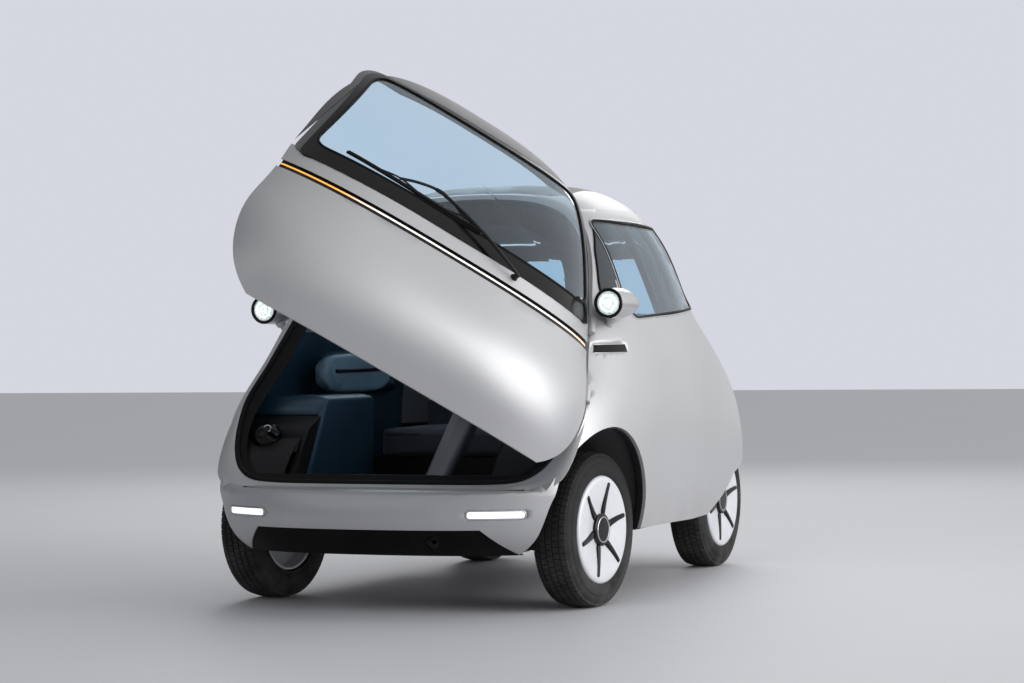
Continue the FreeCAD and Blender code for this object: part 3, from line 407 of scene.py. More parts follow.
@dataclass(frozen=True)
class Paint(Finish):
    """Pearl body paint with fine flake, softened edges and dust near the ground."""

    metallic: float = 0.55
    roughness: float = 0.42
    coat: float = 0.12
    flake: float = 0.05
    dust: Colour = (0.30, 0.29, 0.28)
    edge: float = 0.0015

    def build(self, sheet: Sheet) -> None:
        """Base colour with flake shade, dust and a rounded edge normal.

        Args:
            sheet: The material to fill.
        """
        grain = sheet.group(grain_group, Scale=1800.0, Shade_Scale=2.5)
        dust = sheet.group(dust_group, Height=0.42, Amount=0.35)["Mask"]
        edge_share = sheet.group(edge_scuff_and_highlight_group, Radius=self.edge, Amount=0.15)["Mask"]
        dark = tuple(channel * (1.0 - self.flake) for channel in self.colour)
        dusty = sheet.mix(dust, sheet.mix(grain["Shade"], dark, self.colour), self.dust)
        rough = sheet.spread(grain["Shade"], 0.0, 1.0, self.roughness, self.roughness + 0.05)
        sheet.set(Base_Color=sheet.mix(edge_share, dusty, self.dust), Metallic=self.metallic, Coat_Weight=self.coat,
                  Coat_Roughness=0.08, Roughness=sheet.math("ADD", rough, sheet.math("MULTIPLY", dust, 0.4)))
        soft = sheet.node("ShaderNodeBevel", {"samples": 4}, Radius=self.edge)
        sheet.bump(grain["Height"], 0.04, 0.0002, soft.outputs["Normal"])


@dataclass(frozen=True)
class Moulded(Finish):
    """Moulded plastic or rubber with grain, a little dust and an edge colour: scuffing, and on the cabin trims a
    painted highlight.
    """

    roughness: float = 0.5
    grain: float = 900.0
    depth: float = 0.0004
    strength: float = 0.3
    # Edge colour and its share: scuffing on most finishes, a painted highlight where light catches the cabin trims'
    # edges
    scuff_and_highlight: Colour = (0.07, 0.07, 0.074)
    edge_share: float = 0.25
    dust: float = 0.06
    metallic: float = 0.0
    specular: float = 0.25

    def build(self, sheet: Sheet) -> None:
        """Grained colour, dust low down and an edge colour: scuffing, and on the cabin trims a painted highlight.

        Args:
            sheet: The material to fill.
        """
        grain = sheet.group(grain_group, Scale=self.grain, Shade_Scale=7.0)
        edge_share = sheet.group(edge_scuff_and_highlight_group, Radius=0.0018, Amount=self.edge_share)["Mask"]
        dust = sheet.group(dust_group, Height=0.5, Amount=self.dust)["Mask"]
        light = tuple(min(channel * 1.3 + 0.001, 1.0) for channel in self.colour)
        scuff_and_highlight = sheet.mix(edge_share, sheet.mix(grain["Shade"], self.colour, light), self.scuff_and_highlight)
        sheet.set(Base_Color=sheet.mix(dust, scuff_and_highlight, DUST), Metallic=self.metallic, Specular_IOR_Level=self.specular)
        sheet.rough(grain["Shade"], self.roughness - 0.05, self.roughness + 0.08)
        sheet.bump(grain["Height"], self.strength, self.depth)


@dataclass(frozen=True)
class Glazing(Finish):
    """Tinted window glass."""

    roughness: float = 0.01
    ior: float = 1.45

    def build(self, sheet: Sheet) -> None:
        """Clear tinted glass with a faint uneven film.

        Args:
            sheet: The material to fill.
        """
        shade = sheet.group(grain_group, Scale=30.0, Shade_Scale=1.2)["Shade"]
        deep = tuple(channel * 0.94 for channel in self.colour)
        sheet.set(Base_Color=sheet.mix(shade, deep, self.colour), Transmission_Weight=1.0, IOR=self.ior)
        sheet.rough(shade, self.roughness, self.roughness + 0.02)


@dataclass(frozen=True)
class Bright(Finish):
    """Bright trim, chrome or mirror, with fine smears."""

    roughness: float = 0.12

    def build(self, sheet: Sheet) -> None:
        """Metal with uneven gloss.

        Args:
            sheet: The material to fill.
        """
        grain = sheet.group(grain_group, Scale=400.0, Shade_Scale=14.0)
        dull = tuple(channel * 0.9 for channel in self.colour)
        sheet.set(Base_Color=sheet.mix(grain["Shade"], dull, self.colour), Metallic=1.0)
        sheet.rough(grain["Shade"], self.roughness, self.roughness + 0.08)
        sheet.bump(grain["Height"], 0.03, 0.0002)


@dataclass(frozen=True)
class Lit(Finish):
    """Lit lamp lens with moulded optics."""

    strength: float = 1.0
    facets: float = 120.0
    shade: Colour = (0.55, 0.62, 0.62)

    def build(self, sheet: Sheet) -> None:
        """Emission broken up by small optics.

        Args:
            sheet: The material to fill.
        """
        cells = sheet.node("ShaderNodeTexVoronoi", {"feature": "F1"}, Vector=sheet.place(), Scale=self.facets)
        tone = sheet.spread(cells.outputs["Distance"], 0.1, 0.75)
        glow = sheet.mix(tone, self.colour, self.shade)
        sheet.set(Base_Color=glow, Emission_Color=glow, Emission_Strength=self.strength, Coat_Weight=0.5)
        sheet.rough(tone, 0.08, 0.16)
        sheet.bump(cells.outputs["Distance"], 0.3, 0.001)


@dataclass(frozen=True)
class LightLine(Finish):
    """Lit line across the door, white in the middle and amber towards its ends."""

    amber: Colour = (1.0, 0.42, 0.06)
    half_white: float = 0.28
    half_amber: float = 0.42
    left_fade: float = 0.12
    left_share: float = 0.6
    strength: float = 0.85

    def build(self, sheet: Sheet) -> None:
        """Colour by the place across the door, which the open door carries with it.

        Args:
            sheet: The material to fill.
        """
        across = door_turned(Vector((1.0, 0.0, 0.0)))
        middle = across.dot(door_pose(vehicle(0.0, -0.25, 0.888)))
        away = sheet.math("SUBTRACT", sheet.dot(sheet.place(), tuple(across)), middle)
        right = sheet.spread(away, -self.half_amber, -self.half_white, 1.0, 0.0)
        left = sheet.spread(away, self.half_amber, self.half_amber + self.left_fade, 0.0, self.left_share)
        glow = sheet.mix(sheet.math("ADD", right, left), self.colour, self.amber)
        sheet.set(Base_Color=glow, Emission_Color=glow, Emission_Strength=self.strength, Roughness=0.3)


@dataclass(frozen=True)
class Cloth(Finish):
    """Woven cloth with slubs and a slight sheen."""

    thread: float = 0.0016
    second: Colour = (0.1, 0.11, 0.13)

    def build(self, sheet: Sheet) -> None:
        """Two crossing sets of threads in Object coordinates.

        Args:
            sheet: The material to fill.
        """
        waves = [sheet.node("ShaderNodeTexWave", {"bands_direction": axis}, Vector=sheet.place(),
                            Scale=0.31 / self.thread, Distortion=0.6, Detail=1.0) for axis in ("X", "Z")]
        height = sheet.math("MAXIMUM", *(wave.outputs["Fac"] for wave in waves))
        shade = sheet.group(grain_group, Scale=300.0, Shade_Scale=12.0)["Shade"]
        woven = sheet.mix(height, self.second, self.colour)
        sheet.set(Base_Color=sheet.mix(shade, woven, self.colour), Sheen_Weight=0.25)
        sheet.rough(height, 0.95, 0.78)
        sheet.bump(height, 0.5, 0.0006)


PEARL = Paint("body_pearl", Slot.PAINT, (0.52, 0.52, 0.53))
PILLAR = Paint("screen_pillar", Slot.PAINT, (0.13, 0.13, 0.135), metallic=0.3, roughness=0.5, coat=0.0)
POD = Paint("lamp_pod_silver", Slot.CHROME, (0.56, 0.56, 0.57), metallic=0.8, roughness=0.26, coat=0.4)
COVER = Paint("wheel_silver", Slot.COVER, (0.72, 0.73, 0.76), metallic=0.15, roughness=0.36, coat=0.15, edge=0.001)
BLACK = Moulded("black_moulding", Slot.BLACK, (0.008, 0.008, 0.009))
GRILLE = Moulded("grille_black", Slot.BLACK, (0.0025, 0.0025, 0.003), roughness=0.6, specular=0.1, edge_share=0.08,
                 dust=0.02)
GLOSS_BLACK = Moulded("gloss_black", Slot.BLACK, (0.002, 0.002, 0.0024), roughness=0.14, grain=300.0, strength=0.03,
                      edge_share=0.04, specular=0.22)
QUARTER = Moulded("quarter_glass", Slot.BLACK, (0.012, 0.018, 0.024), roughness=0.1, grain=40.0, strength=0.02,
                  edge_share=0.0, dust=0.02, specular=0.6)
SEAL = Moulded("seal_rubber", Slot.SEAL, (0.0025, 0.0025, 0.003), roughness=0.5, grain=1500.0, edge_share=0.05,
               specular=0.16)
ROOF = Moulded("roof_panel", Slot.ROOF, (0.02, 0.021, 0.023), roughness=0.42, grain=2400.0, strength=0.2, edge_share=0.1)
TYRE = Moulded("tyre_rubber", Slot.TYRE, (0.011, 0.011, 0.012), roughness=0.72, grain=500.0, scuff_and_highlight=(0.06, 0.06, 0.06),
               dust=0.22)
# Painted highlight: the pale blue edge colour stands for light catching the cabin trim's edges
TRIM = Moulded("cabin_trim", Slot.TRIM, (0.016, 0.045, 0.075), roughness=0.34, grain=1300.0, scuff_and_highlight=(0.20, 0.34, 0.42),
               edge_share=0.7, specular=0.5)
# Painted highlight: the light grey-blue edge colour stands for light catching the armrests' edges
PALE_TRIM = Moulded("cabin_pale_trim", Slot.TRIM, (0.20, 0.29, 0.37), roughness=0.3, grain=1300.0,
                    scuff_and_highlight=(0.45, 0.55, 0.62), edge_share=0.6, specular=0.5)
GREY = Moulded("cabin_grey", Slot.GREY, (0.17, 0.175, 0.185), roughness=0.36, grain=1500.0, edge_share=0.2, specular=0.5)
STEEL = Moulded("coated_steel", Slot.STEEL, (0.02, 0.02, 0.021), roughness=0.4, grain=500.0, metallic=0.4,
                scuff_and_highlight=(0.2, 0.19, 0.18))
CAST = Moulded("cast_metal", Slot.CASE, (0.30, 0.31, 0.33), roughness=0.42, grain=350.0, metallic=0.85,
               scuff_and_highlight=(0.5, 0.5, 0.5))
GLASS = Glazing("window_glass", Slot.GLASS, (0.66, 0.86, 0.98))
CHROME = Bright("chrome", Slot.CHROME, (0.74, 0.75, 0.77))
SILVER = Bright("brushed_silver", Slot.CHROME, (0.60, 0.61, 0.63), roughness=0.24)
MIRROR = Bright("mirror", Slot.MIRROR, (0.86, 0.87, 0.9), roughness=0.02)
HEADLIGHT = Lit("headlight", Slot.LENS, (0.95, 0.97, 0.96), strength=0.75, facets=190.0, shade=(0.30, 0.42, 0.42))
BEAM = Lit("headlight_ring", Slot.LENS, (1.0, 1.0, 0.98), strength=1.0, facets=400.0, shade=(0.9, 0.92, 0.92))
DAYLIGHT = Lit("day_lamp", Slot.LENS, (1.0, 1.0, 1.0), strength=0.95, facets=260.0, shade=(0.9, 0.93, 1.0))
REAR_RED = Lit("rear_lamp", Slot.RED, (0.75, 0.03, 0.03), strength=0.25, facets=160.0, shade=(0.35, 0.0, 0.0))
LIGHT_LINE = LightLine("light_line", Slot.LENS, (1.0, 0.93, 0.88))
FABRIC = Cloth("seat_cloth", Slot.FABRIC, (0.05, 0.055, 0.07))


# Mesh helpers


def as_mesh(name: str, shape: BMesh) -> bpy.types.Mesh:
    """Mesh of a shape, which is used up.

    Args:
        name: The mesh's name.
        shape: The shape.

    Returns:
        The new mesh.
    """
    mesh = bpy.data.meshes.new(name)
    shape.to_mesh(mesh)
    shape.free()
    return mesh


def linked(name: str, data: bpy.types.ID) -> bpy.types.Object:
    """New object in the scene.

    Args:
        name: The object's name.
        data: Its mesh, light or camera.

    Returns:
        The new object.
    """
    obj = bpy.data.objects.new(name, data)
    bpy.context.scene.collection.objects.link(obj)
    return obj


def bridge(shape: BMesh, first: Sequence, second: Sequence, closed: bool = True) -> None:
    """Row of faces between two rows of vertices.

    Args:
        shape: The shape that both rows are in.
        first: The first row.
        second: The second row, with as many vertices.
        closed: Whether the rows return to their start.
    """
    for i in range(len(first) if closed else len(first) - 1):
        j = (i + 1) % len(first)
        shape.faces.new((first[i], first[j], second[j], second[i]))


def circle(radius: float, count: int = 48) -> list[Pair]:
    """Points of a circle round the origin."""
    return [(math.cos(a) * radius, math.sin(a) * radius) for a in (math.tau * i / count for i in range(count))]


def revolve(outline: Pairs, steps: int) -> BMesh:
    """Closed ring about the X axis.

    Args:
        outline: Place along the axle and radius of each point, outer side first or last.
        steps: Segments round the axle.

    Returns:
        A closed mesh whose faces point outwards.
    """
    shape = bmesh.new()
    rows = [[shape.verts.new((along, radius * across, radius * up)) for along, radius in outline]
            for across, up in circle(1.0, steps)]
    for first, second in zip(rows, rows[1:] + rows[:1]):
        bridge(shape, first, second)
    bmesh.ops.remove_doubles(shape, verts=shape.verts, dist=MERGE_DISTANCE)
    bmesh.ops.recalc_face_normals(shape, faces=shape.faces)
    return shape


def smooth_outline(points: Pairs, cuts: int = 2) -> list[Pair]:
    """Closed outline with its corners rounded by repeated corner cutting.

    Args:
        points: The outline's corners.
        cuts: How often every corner is cut.

    Returns:
        The rounded outline.
    """
    result = list(points)
    for _ in range(cuts):
        result = [(a[0] * near + b[0] * (1.0 - near), a[1] * near + b[1] * (1.0 - near))
                  for a, b in zip(result, result[1:] + result[:1]) for near in (0.75, 0.25)]
    return result


def rounded_block(size: Point, edge: float, segments: int = 2) -> BMesh:
    """Box round the origin with every edge rounded.

    Args:
        size: Length along each axis.
        edge: Rounding of the edges.
        segments: Steps across a rounded edge.

    Returns:
        The block.
    """
    shape = bmesh.new()
    bmesh.ops.create_cube(shape, size=1.0)
    bmesh.ops.scale(shape, vec=Vector(size), verts=shape.verts)
    bmesh.ops.bevel(shape, geom=shape.edges[:], offset=edge, segments=segments, profile=0.5, affect="EDGES")
    return shape


def cut_long_edges(shape: BMesh, axis: int, least: float, cuts: int) -> None:
    """Divides the edges that run along an axis and are longer than a length."""
    edges = [edge for edge in shape.edges if abs((edge.verts[0].co - edge.verts[1].co)[axis]) > least]
    bmesh.ops.subdivide_edges(shape, edges=edges, cuts=cuts)


def placed(shape: BMesh, matrix: Matrix) -> BMesh:
    """The shape moved by a matrix."""
    bmesh.ops.transform(shape, matrix=matrix, verts=shape.verts)
    return shape


def joined(shapes: Sequence[BMesh]) -> BMesh:
    """Several shapes as one.

    Args:
        shapes: The shapes, which are used up.

    Returns:
        The one shape.
    """
    whole = bmesh.new()
    for shape in shapes:
        mesh = as_mesh("part", shape)
        whole.from_mesh(mesh)
        bpy.data.meshes.remove(mesh)
    return whole


def standing(place: Vector, direction: Vector) -> Matrix:
    """Matrix that turns +X to a direction and moves to a place."""
    return Matrix.Translation(place) @ direction.to_track_quat("X", "Z").to_matrix().to_4x4()


def middle_of(points: Sequence[Vector]) -> Vector:
    """Mean of some places."""
    return sum(points, Vector((0.0,) * len(points[0]))) / len(points)


def sharp_loops(shape: BMesh, angle: float = 0.7, least: int = 12) -> list[list[Vector]]:
    """Closed chains of sharp edges.

    Args:
        shape: A merged copy of a node, which is used up.
        angle: Least angle between the two faces of an edge.
        least: A chain has more points than this.

    Returns:
        Each chain as its points in order, longest first.
    """
    links: dict[int, list[int]] = {}
    shape.verts.ensure_lookup_table()
    for edge in shape.edges:
        if len(edge.link_faces) == 2 and edge.calc_face_angle() > angle:
            a, b = (v.index for v in edge.verts)
            links.setdefault(a, []).append(b)
            links.setdefault(b, []).append(a)
    loops, seen = [], set()
    for start in sorted(links):
        chain, onward = [], [start]
        while onward and onward[0] not in seen:
            chain.append(onward[0])
            seen.add(onward[0])
            onward = [n for n in links[onward[0]] if n not in seen]
        if len(chain) > least:
            loops.append([shape.verts[i].co.copy() for i in chain])
    shape.free()
    return sorted(loops, key=lambda points: -sum((a - b).length for a, b in zip(points, points[1:] + points[:1])))


def on_side(loops: Sequence[list[Vector]], sign: float) -> list[list[Vector]]:
    """The chains on one side of the car."""
    return [loop for loop in loops if middle_of(loop).x * sign > 0]


def band(shape: BMesh, place: Vector, normal: Vector, half: float, outwards: Vector) -> BMesh:
    """Strip of a shell's outer faces between two planes.

    Args:
        shape: A merged copy of the shell, which is used up.
        place: A point in the strip's middle.
        normal: Normal of the two planes.
        half: Half the strip's height.
        outwards: Rough direction that the kept faces point to.

    Returns:
        The strip as an open sheet.
    """
    for side in (1.0, -1.0):
        bmesh.ops.bisect_plane(shape, geom=shape.verts[:] + shape.edges[:] + shape.faces[:], clear_outer=True,
                               plane_co=place + normal * (half * side), plane_no=normal * side)
    inner = [face for face in shape.faces if face.normal.dot(outwards) < 0.12 or abs(face.normal.dot(normal)) > 0.7]
    bmesh.ops.delete(shape, geom=inner, context="FACES")
    return shape


def thickened(shape: BMesh, lift: float, depth: float) -> BMesh:
    """Closed slab from an open sheet, lifted along its normals.

    Args:
        shape: The sheet.
        lift: Distance that it is moved outwards.
        depth: Thickness.

    Returns:
        The same shape as a slab.
    """
    shape.normal_update()
    for vert in shape.verts:
        vert.co += vert.normal * lift
    bmesh.ops.solidify(shape, geom=shape.faces[:], thickness=depth)
    bmesh.ops.recalc_face_normals(shape, faces=shape.faces)
    return shape


class GrowingTree:
    """A Geometry Nodes tree with named inputs, run once for each piece."""

    def __init__(self, name: str, inputs: dict[str, object]) -> None:
        """Starts the tree with its geometry and material sockets.

        Args:
            name: The tree's name.
            inputs: First value or socket type by name.
        """
        every = {"Geometry": Sockets.SHAPE, **inputs, "Material": Sockets.MATERIAL}
        self.tree, self.given, self.out = new_group(name, "GeometryNodeTree", every, {"Geometry": Sockets.SHAPE})
        items = self.tree.tree.interface.items_tree
        self.keys = {item.name: item.identifier for item in items if item.in_out == "INPUT"}

    def close(self, geometry: Socket) -> "GrowingTree":
        """Ends the tree in Realize Instances and Set Material.

        Args:
            geometry: The geometry that the tree has made.

        Returns:
            The finished tree.
        """
        whole = self.tree.node("GeometryNodeRealizeInstances", {}, Geometry=geometry)
        dressed = self.tree.node("GeometryNodeSetMaterial", {}, Geometry=whole.outputs[0],
                                 Material=self.given["Material"])
        self.tree.feed(self.out.inputs["Geometry"], dressed.outputs[0])
        return self

    def run(self, mesh: bpy.types.Mesh, finish: Finish, **values: object) -> bpy.types.Mesh:
        """Mesh that the tree makes from a base mesh.

        Args:
            mesh: The base mesh.
            finish: The finish for Set Material.
            **values: The tree's inputs by name.

        Returns:
            The plain result.
        """
        holder = linked("holder", mesh)
        modifier = holder.modifiers.new("grow", "NODES")
        modifier.node_group = self.tree.tree
        for name, value in {**values, "Material": finish.material()}.items():
            modifier[self.keys[name]] = value
        result = bpy.data.meshes.new_from_object(holder.evaluated_get(bpy.context.evaluated_depsgraph_get()))
        bpy.data.objects.remove(holder)
        return result


def bead_tree() -> GrowingTree:
    """Round bead along a path.

    Returns:
        The tree.
    """
    made = GrowingTree("bead", {"Radius": 0.004, "Spacing": 0.012, "Sides": 8})
    tree, given = made.tree, made.given
    curve = tree.node("GeometryNodeMeshToCurve", {}, Mesh=given["Geometry"])
    even = tree.node("GeometryNodeResampleCurve", {"mode": "LENGTH"}, Curve=curve.outputs[0], Length=given["Spacing"])
    ring = tree.node("GeometryNodeCurvePrimitiveCircle", {"mode": "RADIUS"}, Resolution=given["Sides"],
                     Radius=given["Radius"])
    tube = tree.node("GeometryNodeCurveToMesh", {}, Curve=even.outputs[0], Profile_Curve=ring.outputs[0],
                     Fill_Caps=True)
    return made.close(tube.outputs[0])


def ring_tree() -> GrowingTree:
    """Copies of a block set round an axle along X, the block's outward side at +Y.

    Returns:
        The tree.
    """
    made = GrowingTree("ring_of_blocks", {"Block": Sockets.OBJECT, "Count": 12, "Radius": 0.1, "Along": 0.0,
                                          "Start": 0.0})
    tree, given = made.tree, made.given
    points = tree.node("GeometryNodePoints", {}, Count=given["Count"])
    index = tree.node("GeometryNodeInputIndex").outputs[0]
    step = tree.math("DIVIDE", math.tau, given["Count"])
    angle = tree.math("ADD", tree.math("MULTIPLY", index, step), given["Start"])
    across, up = (tree.math("MULTIPLY", tree.math(kind, angle), given["Radius"]) for kind in ("COSINE", "SINE"))
    place = tree.node("ShaderNodeCombineXYZ", {}, X=given["Along"], Y=across, Z=up)
    turn = tree.node("ShaderNodeCombineXYZ", {}, X=angle)
    moved = tree.node("GeometryNodeSetPosition", {}, Geometry=points.outputs[0], Position=place.outputs[0])
    block = tree.node("GeometryNodeObjectInfo", {}, Object=given["Block"])
    copies = tree.node("GeometryNodeInstanceOnPoints", {}, Points=moved.outputs[0],
                       Instance=block.outputs["Geometry"], Rotation=turn.outputs[0])
    return made.close(copies.outputs[0])


class Workshop:
    """Makes pieces out of meshes and puts them on their bodies."""

    def __init__(self, frame: dict) -> None:
        """Takes the loaded frame.
        """
        self.nodes: dict[str, bpy.types.Object] = frame["nodes"]
        self.bodies = {node: body for body, names in frame["record"]["behaviour"]["bodies"].items() for node in names}
        self.beads, self.rings = bead_tree(), ring_tree()
        self.count = 0

    def piece(self, name: str, shape: BMesh | bpy.types.Mesh, finish: Finish, body: str = "root",
              replaces: Sequence[str] = (), angle: float = SMOOTH_ANGLE) -> bpy.types.Object:
        """Makes one finished piece.

        Args:
            name: The piece's name.
            shape: Its mesh, in place.
            finish: Its finish.
            body: The CAD body that carries it.
            replaces: CAD nodes that it stands for.
            angle: Edges sharper than this stay sharp.

        Returns:
            The piece's object.
        """
        mesh = as_mesh(name, shape) if isinstance(shape, BMesh) else shape
        obj = linked(name, mesh)
        mesh.shade_smooth()
        mesh.set_sharp_from_angle(angle=angle)
        mesh.materials.clear()
        mesh.materials.append(finish.material())
        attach(obj, body)
        if replaces:
            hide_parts(*replaces)
        self.count += 1
        LOG.info("piece %s on %s, %d faces", name, body, len(mesh.polygons))
        return obj

    def copy(self, node: str) -> BMesh:
        """Merged copy of a CAD node's mesh.

        Args:
            node: The node's name.

        Returns:
            The copy, for the caller to free or use up.
        """
        shape = bmesh.new()
        shape.from_mesh(self.nodes[node].data)
        bmesh.ops.remove_doubles(shape, verts=shape.verts, dist=MERGE_DISTANCE)
        return shape

    def dress(self, finish: Finish, *nodes: str, slot: Slot | None = None) -> None:
        """Smooth pieces that stand for CAD nodes and keep their shapes."""
        for node in nodes:
            self.piece(f"{node}_skin", self.copy(node), finish, self.bodies[node], (node,))

    def coat(self, finish: Finish, *nodes: str) -> None:
        """Gives CAD nodes that stay in view their material.

        Args:
            finish: The finish.
            *nodes: The nodes' names.
        """
        for node in nodes:
            for entry in self.nodes[node].material_slots:
                entry.material = finish.material()
            LOG.info("node %s finished as %s", node, finish.name)

    def bead(self, name: str, path: Sequence[Point], radius: float, finish: Finish, body: str = "root", *,
             closed: bool = True, spacing: float = 0.012, sides: int = 8, replaces: Sequence[str] = (),
             slot: Slot | None = None) -> bpy.types.Object:
        """Round bead along a path, as a piece.

        Args:
            name: The piece's name.
            path: Points of the path.
            radius: The bead's radius.
            finish: The piece's finish.
            body: The CAD body that carries it.
            closed: Whether the path returns to its start.
            spacing: Distance between the bead's rings.
            sides: Sides of its section.
            replaces: CAD nodes that it stands for.
            slot: The record's slot, where it isn't the finish's own. Not used.

        Returns:
            The piece's object.
        """
        mesh = bpy.data.meshes.new(f"{name}_path")
        count = len(path)
        edges = [(i, (i + 1) % count) for i in range(count if closed else count - 1)]
        mesh.from_pydata([tuple(point) for point in path], edges, [])
        grown = self.beads.run(mesh, finish, Radius=radius, Spacing=spacing, Sides=sides)
        return self.piece(name, grown, finish, body, replaces)


class Outline:
    """Closed outline in the front view, with rounded corners and always as many points."""

    def __init__(self, corners: Pairs, radii: Sequence[float], bend: int = 8, run: int = 22) -> None:
        """Rounds the corners.

        Args:
            corners: Width and height of each corner.
            radii: Rounding at each corner.
            bend: Steps round a corner.
            run: Steps along a side.
        """
        places = [Vector(corner) for corner in corners]
        arcs = []
        for i, (corner, radius) in enumerate(zip(places, radii)):
            before = (places[i - 1] - corner).normalized()
            after = (places[(i + 1) % len(places)] - corner).normalized()
            cut = radius / math.tan(before.angle(after) / 2)
            arcs.append((corner + before * cut, corner, corner + after * cut))
        self.points: list[Vector] = []
        for i, (start, corner, end) in enumerate(arcs):
            for t in (k / bend for k in range(bend + 1)):
                self.points.append(start * (1 - t) ** 2 + corner * (2 * t * (1 - t)) + end * t * t)
            onward = arcs[(i + 1) % len(arcs)][0]
            self.points += [end.lerp(onward, k / run) for k in range(1, run)]

    def towards(self, other: "Outline", share: float) -> list[Vector]:
        """Points part of the way to another outline."""
        return [a.lerp(b, share) for a, b in zip(self.points, other.points)]

    def shrunk(self, factor: float) -> list[Vector]:
        """Points drawn in towards the middle."""
        middle = middle_of(self.points)
        return [middle + (point - middle) * factor for point in self.points]


class Skin:
    """Outer surface of the closed door, found by rays from in front.

    reach, low and high bound the rays, deepest is the last place behind the axle that counts, step is the distance
    over which the slope is taken.
    """

    reach: float = 0.56
    low: float = 0.93
    high: float = 1.40
    deepest: float = 0.5
    step: float = 0.012

    def __init__(self, shop: Workshop, *nodes: str) -> None:
        """Takes the workshop and the door's nodes.

        Args:
            shop: The workshop, for the nodes' meshes.
            *nodes: The door's nodes that carry the skin.
        """
        shape = placed(joined([shop.copy(node) for node in nodes]), door_matrix().inverted())
        tree = BVHTree.FromBMesh(shape)
        shape.free()
        hits = [tree.ray_cast(vehicle(x, -2.0, z), Vector((0.0, 1.0, 0.0)))[0]
                for x in np.linspace(-self.reach, self.reach, 49) for z in np.linspace(self.low, self.high, 41)]
        found = [(hit.x, hit.z, hit.y) for hit in hits if hit and hit.y < vehicle(0.0, self.deepest, 0.0).y]
        x, z, y = np.array(found).T
        self.factors = np.linalg.lstsq(self.terms(x, z), y, rcond=None)[0]

    @staticmethod
    def terms(x: object, z: object) -> np.ndarray:
        """Powers of width and height that the skin is fitted with."""
        rise = z - 1.15
        return np.stack([x ** i * rise ** j for i in (0, 2, 4, 6) for j in range(5)], axis=-1)

    def closed(self, x: float, z: float) -> Vector:
        """Place on the closed door's skin."""
        return Vector((x, float(self.terms(np.float64(x), np.float64(z)) @ self.factors), z))

    def point(self, x: float, z: float, lift: float = 0.0) -> Vector:
        """Place on the open door for a width and a height on the closed one, lifted off its skin.

        Args:
            x: Width from the middle.
            z: Height above the ground.
            lift: Height above the skin.

        Returns:
            The place in the CAD frame.
        """
        across = self.closed(x + self.step, z) - self.closed(x - self.step, z)
        up = self.closed(x, z + self.step) - self.closed(x, z - self.step)
        return door_pose(self.closed(x, z) + across.cross(up).normalized() * lift)

    def path(self, *points: Place, steps: int = 6) -> list[Vector]:
        """Smooth line over the skin through places given by width, height and lift.

        Args:
            *points: Width, height and lift of each place.
            steps: Steps from one place to the next.

        Returns:
            The line's places on the open door.
        """
        given = [Vector(point) for point in points]
        ends = [given[0] * 2 - given[1], *given, given[-1] * 2 - given[-2]]
        made = []
        for a, b, c, d in zip(ends, ends[1:], ends[2:], ends[3:]):
            for t in (k / steps for k in range(steps)):
                made.append((b * 2 + (c - a) * t + (a * 2 - b * 5 + c * 4 - d) * t * t
                             + (b * 3 - a - c * 3 + d) * t ** 3) / 2)
        return [self.point(*place) for place in (*made, given[-1])]

    def slab(self, rows: Sequence[Sequence[Vector]], lift: float, depth: float, filled: bool = False) -> BMesh:
        """Closed slab that lies on the skin.

        Args:
            rows: Nested outlines with as many points each.
            lift: Height of its face above the skin.
            depth: Thickness.
            filled: Whether the last row's middle is closed.

        Returns:
            The slab as a closed mesh.
        """
        shape = bmesh.new()
        levels = (lift, lift - depth)
        layers = [[[shape.verts.new(self.point(*place, level)) for place in row] for row in rows] for level in levels]
        pairs = [pair for layer in layers for pair in zip(layer, layer[1:])]
        pairs += [(layers[0][k], layers[1][k]) for k in ((0,) if filled else (0, -1))]
        for first, second in pairs:
            bridge(shape, first, second)
        if filled:
            centre = middle_of(rows[-1])
            for layer, level in zip(layers, levels):
                middle, last = shape.verts.new(self.point(*centre, level)), layer[-1]
                for i, vert in enumerate(last):
                    shape.faces.new((vert, last[(i + 1) % len(last)], middle))
        bmesh.ops.recalc_face_normals(shape, faces=shape.faces)
        return shape


# The car's sub-assemblies


